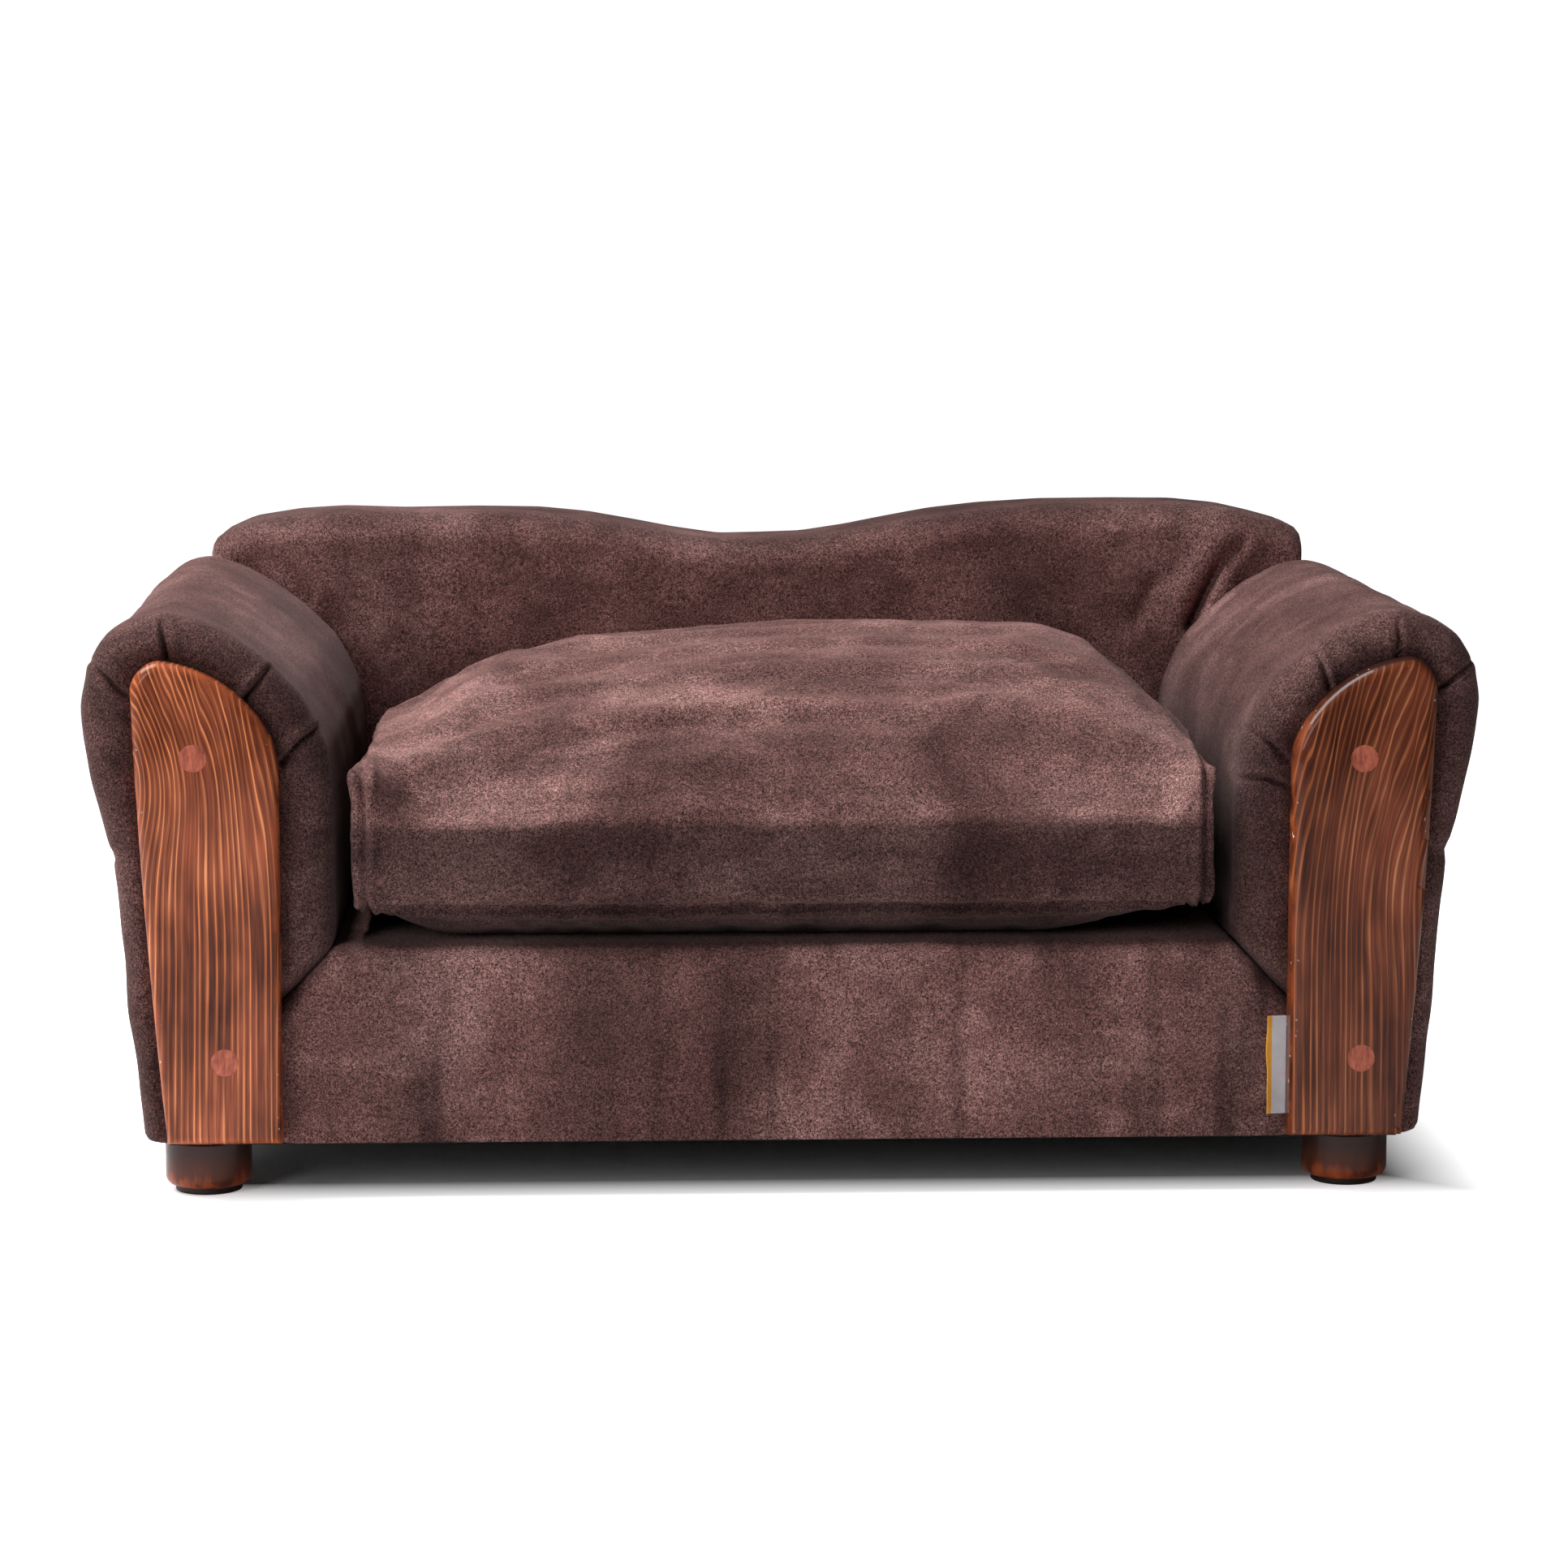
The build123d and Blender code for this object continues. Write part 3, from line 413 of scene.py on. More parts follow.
def stained_pine_material(name, seed, swirl_height, swirl, lean, tone, less_painted_edge_shade):
    """Stained softwood: thin orange growth lines in a darker ground, worn at its edges.

    The lines swing out by the swirl about its height, and lean more and more above 0.11 m. The
    tone makes lighter or darker copies of the one stain, as painted light and shade, and the upper
    edges are darkened as painted shade, less so by the given amount.
    """
    n = Nodes(name)
    shifted = n.scaled(n.place, (1, 1, 1), (seed, 0, seed * 0.7))
    drift = n.streaks(shifted, (9, 3, 2.2), 2.0, 0.45)
    uneven = n.streaks(shifted, (70, 3, 1.5), 2.0, 0.5)
    rise = n.math("DIVIDE", n.math("SUBTRACT", n.z, swirl_height), SWIRL_REACH)
    hump = n.math("EXPONENT", n.times(n.times(rise, rise), -1.0))
    outer = n.grey(n.math("ABSOLUTE", n.x), 0.245, 0.295, 0.0, 1.0)
    upper = n.math("MAXIMUM", n.math("SUBTRACT", n.z, 0.11), 0.0)
    warped = n.plus(n.x, n.times(n.times(upper, upper), -lean))
    warped = n.plus(warped, n.times(drift, 0.014))
    warped = n.plus(warped, n.times(uneven, 0.010))
    warped = n.plus(warped, n.times(n.times(hump, outer), swirl))
    flow = n.node("ShaderNodeCombineXYZ", {"X": warped, "Y": n.y, "Z": n.z}).outputs["Vector"]
    fibre = n.streaks(flow, (1000, 60, 22), 2.0, 0.6)
    vary = n.streaks(flow, (190, 10, 9), 2.0, 0.5)
    rings = n.math("FRACT", n.times(warped, LINES_PER_METRE))
    line = n.ramp(rings, [
        (0.00, (0.12, 0.12, 0.12)), (0.36, (0.0, 0.0, 0.0)), (0.64, (0.22, 0.22, 0.22)),
        (0.80, (1.0, 1.0, 1.0)), (0.92, (1.0, 1.0, 1.0)), (1.00, (0.12, 0.12, 0.12)),
    ])
    keep = n.grey(vary, 0.36, 0.62, 0.10, 1.0)
    streaks = n.times(line, n.times(keep, n.grey(fibre, 0.34, 0.62, 0.40, 1.15)))
    stain = n.streaks(shifted, (22, 10, 11), 3.0, 0.6)
    threads = n.grey(fibre, 0.30, 0.70, 0.45, 1.65)
    # the tone scales both ramps: painted light and shade on this board's copy
    dark = n.ramp(stain, [
        (0.34, toned((0.050, 0.0090, 0.0040), tone)),
        (0.66, toned((0.340, 0.0760, 0.0340), tone)),
    ])
    bright = n.ramp(stain, [
        (0.34, toned((0.80, 0.195, 0.050), tone)), (0.66, toned((1.00, 0.400, 0.180), tone)),
    ])
    wood = n.mix(streaks, n.dimmed(dark, threads), bright)
    edge = n.grey(n.facing("Y"), -0.985, -0.5, 0.0, 1.0)
    rub = n.noise(shifted, 70.0, 3.0, 0.6)
    # painted shade: the upper edges darken towards near black, less so by the given amount
    shade = n.times(edge, n.grey(n.z, 0.20, 0.235, 0.0, 1.0 - less_painted_edge_shade))
    wood = n.mix(shade, wood, (0.035, 0.010, 0.006))
    worn = n.times(edge, n.grey(rub, 0.42, 0.62, 0.05, 0.75))
    worn = n.times(worn, n.math("SUBTRACT", 1.0, shade))
    colour = n.mix(worn, wood, toned((0.50, 0.110, 0.032), tone))
    dings = n.noise(shifted, 330.0, 1.0, 0.5)
    chipped = n.times(edge, n.grey(dings, 0.735, 0.75, 0.0, 1.0))
    colour = n.mix(chipped, colour, (0.80, 0.66, 0.56))
    grooves = n.bump(streaks, 0.35, 0.0004)
    ripple = n.bump(n.streaks(shifted, (60, 20, 14), 2.0), 0.3, 0.0008, grooves)
    n.set(Specular_IOR_Level=0.10, Coat_Weight=0.30, Coat_Roughness=0.07)
    return n.finish(colour, n.grey(rub, 0.3, 0.7, 0.30, 0.44), ripple)


def plug_material():
    """Reddish wood plug with fine grain, a little paler than the board."""
    n = Nodes("plug_wood")
    fine = n.streaks(n.place, (700, 60, 150), 2.0, 0.6)
    tone = n.noise(n.place, 160.0, 2.0, 0.6)
    colour = n.ramp(n.blend(fine, tone, 0.6), [
        (0.34, (0.22, 0.046, 0.024)), (0.66, (0.62, 0.160, 0.095))])
    n.set(Coat_Weight=0.25, Coat_Roughness=0.22, Specular_IOR_Level=0.2)
    return n.finish(colour, n.grey(tone, 0.3, 0.7, 0.38, 0.5), n.bump(fine, 0.2, 0.0003))


def foot_material():
    """Turned foot: nearly black stain that wears to orange at the lower rim."""
    n = Nodes("foot_wood")
    grain = n.streaks(n.place, (160, 160, 40), 3.0, 0.6)
    low, high = foot_low[2] * MM, foot_high[2] * MM
    fade = n.grey(n.z, low, low + (high - low) * 0.75, 1.0, 0.0)
    tone = n.times(fade, n.grey(grain, 0.3, 0.7, 0.45, 1.15))
    colour = n.ramp(tone, [
        (0.0, (0.040, 0.014, 0.010)), (0.45, (0.11, 0.026, 0.012)), (1.0, (0.62, 0.120, 0.030)),
    ])
    n.set(Coat_Weight=0.25, Coat_Roughness=0.12, Specular_IOR_Level=0.15)
    return n.finish(colour, n.grey(grain, 0.3, 0.7, 0.28, 0.4), n.bump(grain, 0.15, 0.0004))


def plain_wood_material(name, pale, deep):
    """Unfinished wood inside the sofa, with growth lines along its length."""
    n = Nodes(name)
    warp = n.streaks(n.place, (6, 6, 6), 2.0)
    lines = n.node("ShaderNodeTexWave", {
        "Vector": n.scaled(n.place, (60, 60, 60)), "Scale": 1.0, "Distortion": 6.0,
        "Detail": 2.0}).outputs["Fac"]
    fibre = n.noise(n.place, 420.0, 2.0)
    n.set(Specular_IOR_Level=0.3)
    return n.finish(
        n.ramp(n.blend(warp, lines, 0.5), [(0.25, deep), (0.75, pale)]),
        n.grey(fibre, 0.3, 0.7, 0.6, 0.8),
        n.bump(fibre, 0.3, 0.0004),
    )


def foam_material():
    """Open-cell foam."""
    n = Nodes("foam")
    cells = n.node("ShaderNodeTexVoronoi", {"Vector": n.place, "Scale": 600.0}).outputs["Distance"]
    colour = n.ramp(cells, [(0.1, (0.62, 0.55, 0.34)), (0.6, (0.85, 0.80, 0.60))])
    return n.finish(colour, n.grey(cells, 0.0, 1.0, 0.85, 1.0), n.bump(cells, 0.6, 0.0008))


def metal_material(name, colour, roughness):
    """Plated metal with fine brushing."""
    n = Nodes(name)
    brushing = n.streaks(n.place, (900, 900, 200), 2.0)
    n.set(Metallic=1.0)
    low = tuple(channel * 0.8 for channel in colour)
    return n.finish(
        n.ramp(brushing, [(0.3, low), (0.7, colour)]),
        n.grey(brushing, 0.3, 0.7, roughness, roughness + 0.15),
        n.bump(brushing, 0.1, 0.0002),
    )


def woven_material(name, deep, pale, pitch):
    """Plain woven cloth."""
    n = Nodes(name)
    weave = n.weave(pitch)
    dust = n.noise(n.place, 90.0, 3.0)
    n.set(Sheen_Weight=0.3, Specular_IOR_Level=0.25)
    return n.finish(
        n.ramp(n.blend(weave, dust, 0.6), [(0.2, deep), (0.8, pale)]),
        n.grey(dust, 0.3, 0.7, 0.75, 0.95),
        n.bump(weave, 0.5, 0.0003),
    )


def glide_material():
    """Moulded dark plastic glide."""
    n = Nodes("glide_plastic")
    speckle = n.noise(n.place, 500.0, 2.0)
    n.set(Specular_IOR_Level=0.4)
    return n.finish(
        n.ramp(speckle, [(0.3, (0.012, 0.007, 0.006)), (0.7, (0.030, 0.016, 0.012))]),
        n.grey(speckle, 0.3, 0.7, 0.4, 0.6),
        n.bump(speckle, 0.2, 0.0002),
    )


# each suede's number is its painted light level: lighter copies on the back and base and a darker
# one on the arms, as painted light and shade
SUEDES = {
    "arm": suede_material("suede_arm", 0.95, arm_nap_and_painted_shade),
    "base": suede_material("suede_base", 1.15, base_strokes),
    "back": suede_material("suede_back", 1.45, back_nap_and_painted_shade),
    "cushion": suede_material("suede_cushion", 1.0, cushion_nap_painted_light_and_shade),
}


# -------- padded shapes
def meridian(round_front, round_rear, cap_steps, y_front, y_rear, side_step, round_steps=9):
    """Line from the middle of the front, round its edge, along the side and to the rear's middle.

    Returns rows of (share of the way to the middle, inset in mm, depth in mm): the inset is
    used near the edge and the share beyond it.
    """
    turn = np.linspace(0, math.pi / 2, round_steps)
    rows = [(share, round_front, y_front) for share in np.linspace(1, 0, cap_steps)]
    for sine, cosine in zip(np.sin(turn[1:]), np.cos(turn[1:])):
        rows.append((0, round_front * (1 - sine), y_front + round_front * (1 - cosine)))
    start, end = y_front + round_front, y_rear - round_rear
    count = int((end - start) / side_step)
    rows += [(0, 0, y) for y in np.linspace(start, end, count)[1:]]
    for sine, cosine in zip(np.sin(turn[-2::-1]), np.cos(turn[-2::-1])):
        rows.append((0, round_rear * (1 - sine), y_rear - round_rear * (1 - cosine)))
    rows += [(share, round_rear, y_rear) for share in np.linspace(0, 1, cap_steps)[1:]]
    return np.array(rows)


def padded_grid(outline, middles, rows):
    """Grid of points: each outline point runs along the meridian towards its middle point."""
    towards = middles - outline
    distance = np.linalg.norm(towards, axis=1, keepdims=True)
    towards = towards / distance
    share, inset, depth = rows[:, 0], rows[:, 1], rows[:, 2]
    reach = inset[None, :] + share[None, :] * (distance - inset[None, :])
    flat = outline[:, None, :] + towards[:, None, :] * reach[:, :, None]
    depths = np.broadcast_to(depth[None, :, None], reach.shape + (1,))
    return np.concatenate([flat[:, :, :1], depths, flat[:, :, 1:]], 2)


def signed_distance(points, polygon):
    """Distance from points to a closed outline, negative inside it."""
    best = np.full(len(points), 1e9)
    inside = np.zeros(len(points), dtype=bool)
    for a, b in zip(polygon, np.roll(polygon, -1, 0)):
        edge = b - a
        t = np.clip(((points - a) @ edge) / (edge @ edge + 1e-12), 0, 1)
        best = np.minimum(best, np.linalg.norm(points - a - t[:, None] * edge, axis=1))
        crosses = (a[1] > points[:, 1]) != (b[1] > points[:, 1])
        slope = edge[0] * (points[:, 1] - a[1]) / (edge[1] if edge[1] else 1e-12) + a[0]
        inside ^= crosses & (points[:, 0] < slope)
    return np.where(inside, -best, best)


def board_outline(node):
    """Outer outline of a facing board's back, as points round its middle, in mm."""
    points = np.array([vertex.co[:] for vertex in frame["nodes"][node].data.vertices]) / MM
    back = np.unique(points[points[:, 1] > BOARD_BACK - 0.1][:, [0, 2]].round(2), axis=0)
    centre = (back.min(0) + back.max(0)) / 2
    angles = np.arctan2(back[:, 1] - centre[1], back[:, 0] - centre[0])
    back = back[np.argsort(angles)]
    distances = np.linalg.norm(back - centre, axis=1)
    keep = []
    for index in range(len(back)):
        window = [(index + step) % len(back) for step in range(-6, 7)]
        if distances[index] > 0.75 * distances[window].max():
            keep.append(index)
    return back[keep]


def line_place(points, route):
    """Signed distance from a line of points in a plane, and the share of the way along it."""
    line = rounded_line(route, 1.5, 0.75)
    best = np.full(points.shape[:-1], 1e9)
    share = np.zeros(points.shape[:-1])
    side = np.ones(points.shape[:-1])
    for index, (a, b) in enumerate(zip(line, line[1:])):
        length = np.linalg.norm(b - a)
        direction = (b - a) / length
        offset = points - a
        ahead = offset @ direction
        across = offset[..., 0] * direction[1] - offset[..., 1] * direction[0]
        beyond = np.maximum(0, np.maximum(-ahead, ahead - length))
        distance = np.hypot(across, beyond)
        closer = distance < best
        best = np.where(closer, distance, best)
        side = np.where(closer, np.where(across < 0, -1, 1), side)
        passed = (index + np.clip(ahead / length, 0, 1)) / (len(line) - 1)
        share = np.where(closer, passed, share)
    return best * side, share


def bottom_middles(line, reach, low):
    """Point on the bottom line that each outline point faces, no further out than the reach."""
    across = np.clip(line[:, 0], -reach, reach)
    return np.stack([across, np.full(len(line), low - 0.1)], 1)


def fold(across, share, depth, width):
    """Tucked pleat: a sharp valley with a full lip on one side, flattening towards its end."""
    fade = 1 - 0.75 * smoothstep(0.35, 1.0, share)
    valley = -depth * bell(across, width)
    lip = 0.55 * depth * bell(np.maximum(across - 2.2 * width, 0), 2.6 * width)
    lip *= smoothstep(0, 2.2 * width, across)
    return fade * (valley + lip + 0.2 * depth * bell(across + 4 * width, 2.5 * width))


# -------- arms
ARM_FRONT_BULGE = 2.6       # how far the fabric stands proud beside the board
ARM_ROUND = 15.0            # radius round the edge of the front band
PLEAT_WIDTH = 1.1           # how wide a pleat's valley is
ARM_SWELL = {"left": 2.8, "right": 1.2}  # how far the outer side stands outside the CAD cover
REAR_SWELL = {"left": 5.6, "right": 0.8}  # how much fuller the roll is at its rear end
PLEATS = {
    # each pleat as points from the board's edge to the roll: |X|, then the drop below the
    # arm's top; and how deep it is
    "left": [
        ([(281.5, 22), (283.0, 12), (284.5, 3)], 4.0),
        ([(250.0, 42), (243.5, 34), (236.0, 25)], 4.4),
        ([(231.0, 68), (222.0, 58), (213.0, 51)], 4.6),
        ([(301.5, 37), (309.0, 29), (318.0, 22)], 4.6),
    ],
    "right": [
        ([(282.0, 22), (281.5, 13), (281.0, 4)], 3.0),
        ([(250.0, 36), (247.0, 27), (244.0, 17)], 3.6),
        ([(231.0, 70), (224.0, 62), (214.0, 56)], 3.8),
        ([(231.5, 81), (222.0, 77), (210.0, 78)], 3.2),
        ([(301.0, 36), (308.0, 30), (317.0, 24)], 3.8),
    ],
}


def arm_profile(swell):
    """Front outline of the right arm, from the hem under its inner side to the outer hem."""
    inner, outer = arm_low[0], arm_high[0] + swell
    top, low = arm_high[2], arm_low[2] + HEM_LIFT
    joint = base_high[0]
    seat = base_high[2]
    return rounded_line([
        (joint + HEM_WIDTH, low), (joint, low), (joint, seat - 33), (inner, seat),
        (inner, seat + 72), (inner + 2.5, top - 62), (inner + 8, top - 49),
        (inner + 16, top - 35.5), (inner + 29.5, top - 22.5), (inner + 46, top - 9.5),
        (inner + 63, top - 1.5), (inner + 78, top + 0.6), (inner + 90, top - 3),
        (outer - 9, top - 12), (outer - 2, top - 25), (outer + 1.2, top - 42),
        (outer, top - 58), (outer - 3.5, top - 77), (outer - 8.5, top - 97),
        (outer - 12.5, top - 112), (outer - 14.5, top - 136), (outer - 18.5, top - 185),
        (outer - 24.5, low), (outer - 24.5 - HEM_WIDTH, low),
    ], 4.0)


def arm_middles(outline):
    """Point inside the arm that each outline point faces."""
    heights = np.clip(outline[:, 1], arm_low[2] + HEM_LIFT, arm_high[2] - 52)
    across = 267 + (heights - arm_low[2]) * 0.01
    return np.stack([across, heights], 1)


def make_arm(name, sign):
    """Upholstery of one arm: roll, front band with pleats round the board, and outer side."""
    top, seat = arm_high[2], base_high[2]
    outline = arm_profile(ARM_SWELL[name])
    pleats = [
        ([(across, top - drop) for across, drop in route], depth)
        for route, depth in PLEATS[name]
    ]
    spots = [nearest_place(outline, point) for route, _ in pleats for point in route]
    line = resampled(outline, 3.0, spots, 0.7, 6.0)
    y_front, y_rear = arm_low[1] - ARM_FRONT_BULGE, arm_high[1]
    rows = meridian(ARM_ROUND, 6.0, 16, y_front, y_rear, 3.5, 13)
    grid = padded_grid(line, arm_middles(line), rows)
    normals = outward(grid, np.array([268.0, -30.0, 140.0]))
    x, y, z = np.moveaxis(grid, 2, 0)
    board = board_outline(f"facing_board_{name}")
    board[:, 0] = np.abs(board[:, 0])
    reach = signed_distance(grid[:, :, [0, 2]].reshape(-1, 2), board).reshape(x.shape)
    front = 1 - smoothstep(ARM_ROUND * 0.6, ARM_ROUND * 1.6, y - y_front)
    pressed = (1 - smoothstep(-0.5, 6.5, reach)) * front
    y += (ARM_FRONT_BULGE + 0.3) * pressed
    near_front = 1 - smoothstep(6, 24, y - y_front)
    outside = smoothstep(262, 285, x)
    move = np.zeros(x.shape)
    for route, depth in pleats:
        across, share = line_place(grid[:, :, [0, 2]], route)
        move += fold(across, share, depth, PLEAT_WIDTH) * near_front
    mirrored = grid * np.array([sign, 1, 1])
    broad = value_noise(mirrored, 90, 11)
    small = value_noise(mirrored, 34, 12)
    ripple = value_noise(mirrored * np.array([1.0, 0.25, 1.0]), 22, 13)
    calm = np.maximum(smoothstep(seat - 40, seat + 10, z), outside)
    move += calm * (0.55 * broad + 0.28 * small) + 0.16 * ripple * near_front
    waist = bell(z - (top - 112), 3.5) * outside
    move -= 1.3 * waist
    fuller = bell(x - 297, 22) * smoothstep(top - 45, top - 15, z)
    move += REAR_SWELL[name] * fuller * smoothstep(-40, 90, y)
    hem = smoothstep(0.5, 5, z - arm_low[2])
    joint = 1 - smoothstep(8, 16, seat - z)
    move *= hem * np.maximum(joint, smoothstep(250, 262, x))
    grid = grid + normals * move[:, :, None]
    grid[:, :, 0] *= sign
    grid[:, :, 1] = np.minimum(grid[:, :, 1], y_rear)
    arm = grid_mesh(f"arm_upholstery_{name}", grid)
    replaced = (f"arm_cover_{name}", f"arm_foam_{name}")
    finish_piece(arm, "sofa", SUEDES["arm"], replaced)


# -------- base
BASE_ROUND = 12.0           # radius round the front rail's edge
BASE_PULLS = (
    # hollows down the front rail: X at mid height, depth, width, and lean with height
    (-128, 1.1, 9, 0.10), (-52, 1.3, 7, -0.12), (14, 1.0, 8, 0.05), (76, 1.2, 9, -0.06),
    (-185, 0.7, 10, 0.2), (148, 0.8, 12, 0.1), (190, 0.6, 8, -0.1),
)


def make_base():
    """Upholstery of the base: front rail with a rolled upper edge, and the seat."""
    half, seat, low = base_high[0], base_high[2], base_low[2] + HEM_LIFT
    inner = arm_low[0]
    outline = rounded_line([
        (-half + HEM_WIDTH, low), (-half, low), (-half, seat - 33), (-inner, seat),
        (inner, seat), (half, seat - 33), (half, low), (half - HEM_WIDTH, low),
    ], 2.5)
    line = resampled(outline, 3.0)
    y_front, y_rear = base_low[1] - 0.6, base_high[1]
    rows = meridian(BASE_ROUND, 3.0, 26, y_front, y_rear, 5.0, 9)
    grid = padded_grid(line, bottom_middles(line, inner + 10, low), rows)
    normals = outward(grid, np.array([0.0, -30.0, 60.0]))
    x, y, z = np.moveaxis(grid, 2, 0)
    front = 1 - smoothstep(4, 26, y - y_front)
    pulls = np.zeros(x.shape)
    for middle, depth, width, lean in BASE_PULLS:
        across = x - (middle + lean * (z - 65))
        pulls -= depth * bell(across, width)
        pulls += 0.6 * depth * bell(across - 2.1 * width, width * 1.1)
    upper = smoothstep(96, 112, z)
    fullness = smoothstep(18, 50, z) * (1 - upper)
    uneven = 0.4 * value_noise(grid, 70, 21)
    move = front * fullness * (pulls + uneven + 0.18 * value_noise(grid, 26, 22))
    move += front * upper * (0.5 * value_noise(grid, 60, 23))
    hem = smoothstep(1, 8, z - base_low[2])
    sides = 1 - smoothstep(half - 14, half - 2, np.abs(x))
    grid = grid + normals * (move * hem * sides)[:, :, None]
    base = grid_mesh("base_upholstery", grid)
    finish_piece(base, "sofa", SUEDES["base"], ("base_cover",))


# -------- back
BACK_ROUND = 15.0           # radius round the front of the top edge
BACK_FOLDS = (
    # route as (X, drop below the back's top), the valley's depth and its width
    ([(226, 66), (233, 50), (242, 33), (254, 22)], 9.0, 2.4),
    ([(-238, 50), (-250, 34), (-264, 17)], 2.2, 3.0),
    ([(-205, 60), (-212, 44), (-226, 28)], 1.2, 4.0),
    ([(196, 62), (206, 44), (222, 30)], 1.4, 4.0),
)


def back_profile():
    """Front outline of the back, from the hem under its left end to the one on the right."""
    top, low = back_high[2], back_low[2] + HEM_LIFT
    foot = back_high[0]
    right = [
        (0, top - 19.2), (22, top - 18.6), (46, top - 15.2), (70, top - 10.6),
        (92, top - 6.6), (118, top - 3.6), (152, top - 1.4), (190, top - 1.0),
        (222, top - 1.4), (246, top - 4.0), (264, top - 8.0), (282, top - 13.0),
        (286.5, top - 19), (285.5, top - 25), (279.0, top - 32), (280, top - 40),
        (284.5, top - 96), (foot, low), (foot - HEM_WIDTH, low),
    ]
    left = [
        (-foot + HEM_WIDTH, low), (-foot, low), (-287, top - 96), (-289, top - 40),
        (-289.5, top - 31), (-289.5, top - 23), (-286, top - 17), (-270, top - 9.8),
    ]
    # the left hump is the right one mirrored, and a little lower
    left += [(-x, z - 1.0 - 3.6 * bell(x - 183, 55)) for x, z in reversed(right[1:10])]
    return rounded_line(left + right, 3.5)


def make_back():
    """Upholstery of the back, with the wavy top and the tucks beside the arms."""
    top, low = back_high[2], back_low[2] + HEM_LIFT
    outline = back_profile()
    spots = [
        nearest_place(outline, (across, top)) for route, *_ in BACK_FOLDS for across, _ in route]
    line = resampled(outline, 4.0, spots, 1.2, 7)
    y_front, y_rear = back_low[1], back_high[1]
    rows = meridian(BACK_ROUND, 11.0, 60, y_front, y_rear, 5.0, 9)
    grid = padded_grid(line, bottom_middles(line, back_high[0] - 30, low), rows)
    normals = outward(grid, np.array([0.0, 160.0, 150.0]))
    y, z = grid[:, :, 1], grid[:, :, 2]
    front = 1 - smoothstep(2, 30, y - y_front)
    rear = smoothstep(-30, -6, y - y_rear)
    move = front * (0.9 * value_noise(grid, 120, 31) + 0.5 * value_noise(grid, 45, 32))
    move += rear * (0.3 * value_noise(grid, 160, 33))
    for route, depth, width in BACK_FOLDS:
        heights = [(across, top - drop) for across, drop in route]
        across, share = line_place(grid[:, :, [0, 2]], heights)
        move += front * fold(across, share, depth, width)
    ridge = smoothstep(top - 41, top - 6, z) * (1 - front) * (1 - rear)
    move += ridge * 0.5 * value_noise(grid, 60, 34)
    low_part = 1 - smoothstep(top - 206, top - 156, z)
    move *= 1 - 0.8 * low_part
    hem = smoothstep(1, 8, z - back_low[2])
    grid = grid + normals * (move * hem)[:, :, None]
    grid[:, :, 1] = np.maximum(grid[:, :, 1], y_front - 1.5)
    back = grid_mesh("back_upholstery", grid)
    replaced = ("back_cover", "back_front_foam", "back_top_foam")
    finish_piece(back, "sofa", SUEDES["back"], replaced)


# -------- cushion
CUSHION_TOPS = (
    # X, then how high the top is there above the cushion's underside
    (-200.5, 78), (-192, 88), (-174, 99), (-142, 115), (-102, 125), (-50, 132), (5, 136),
    (59, 136.5), (100, 134.5), (140, 131), (166, 123), (183, 106), (193, 92), (200.5, 79),
)
CUSHION_EASE = 30.0         # how far along X the tops are blended
CUSHION_ROUND = 9.0         # radius of the side panels' edges
CUSHION_LOOPS = 96          # outlines across the cushion before it is refined
CUSHION_POINTS = 200        # points round each outline
FINER = 3                   # how much finer the seams' mesh is than the simulated one
CAP_LOOPS = 12              # outlines across each flat side
ROUND_LOOPS = 4             # outlines round each side's edge
SIDE_SEAM = CAP_LOOPS + ROUND_LOOPS // 2  # outline on which each side panel's seam runs
SWELL_FRAMES = 20           # frames of cloth simulation
CUSHION_PRESSURE = 4.0      # of the swelling
CUSHION_LOOSE = 0.004       # share by which the fabric is larger than the filling
CUSHION_CAP = 6.0           # furthest that the swelling moves a point, in mm
CORNER_LIFT = 15.0          # how far the front corners' undersides curl up
EAR_RISE, EAR_WIDTH = 1.2, 9.0    # bump on each front corner
TUCK_DEPTH, TUCK_WIDTH = 1.8, 5.0 # dent below it
TUCK_DROP = 13.0            # how far the dent is below the bump


def cushion_profile(x):
    """Closed outline of the cushion in Y and Z at one X, from the rear of the underside."""
    low, front, rear = cushion_low[2], cushion_low[1], cushion_high[1]
    stations = np.array(CUSHION_TOPS)
    ease = min(CUSHION_EASE, cushion_high[0] + 1 - abs(x))
    around = x + ease * np.linspace(-1, 1, 9)
    top = np.interp(around, stations[:, 0], stations[:, 1]).mean()
    side = smoothstep(110, 196, abs(x))
    corner = smoothstep(172, 198, abs(x))
    curl = smoothstep(-150, -203, x) + 1.15 * smoothstep(115, 203, x)
    seam = low + SEAM_RISE + 1.5 * curl
    under = low + min(curl * CORNER_LIFT, SEAM_RISE - 1)
    step = seam - under
    shoulder = FRONT_FOLD + 21 * corner
    rise = top - shoulder
    return rounded_line([
        (rear - 16, (low + under) / 2), (30, low + 0.3 * (under - low)),
        (front + 70, low + 0.7 * (under - low)), (front + 38, under),
        (front + 24, under + 0.16 * step), (front + 12, under + 0.46 * step),
        (front + 5, seam - 2), (front + 2.4, seam + 2.5), (front + 1.2, low + 36),
        (front + 0.3, low + shoulder - 5), (front + 2.2 - 0.8 * corner, low + shoulder),
        (front + 11 - 5 * corner, low + shoulder + rise * (0.20 + 0.2 * corner)),
        (front + 30 - 8 * side, low + shoulder + rise * (0.50 + 0.15 * side)),
        (front + 62, low + shoulder + rise * (0.775 + 0.1 * side)),
        (front + 105, low + shoulder + rise * (0.93 + 0.03 * side)),
        (front + 150, low + top * 0.995), (front + 195, low + top),
        (rear - 50, low + top * (0.95 + 0.01 * side)), (rear - 22, low + top * 0.86),
        (rear - 7, low + top * 0.73), (rear - 2, low + 50), (rear - 2.5, low + 24),
        (rear - 8, (low + under) / 2 + 5), (rear - 16, (low + under) / 2),
    ], 4.0)


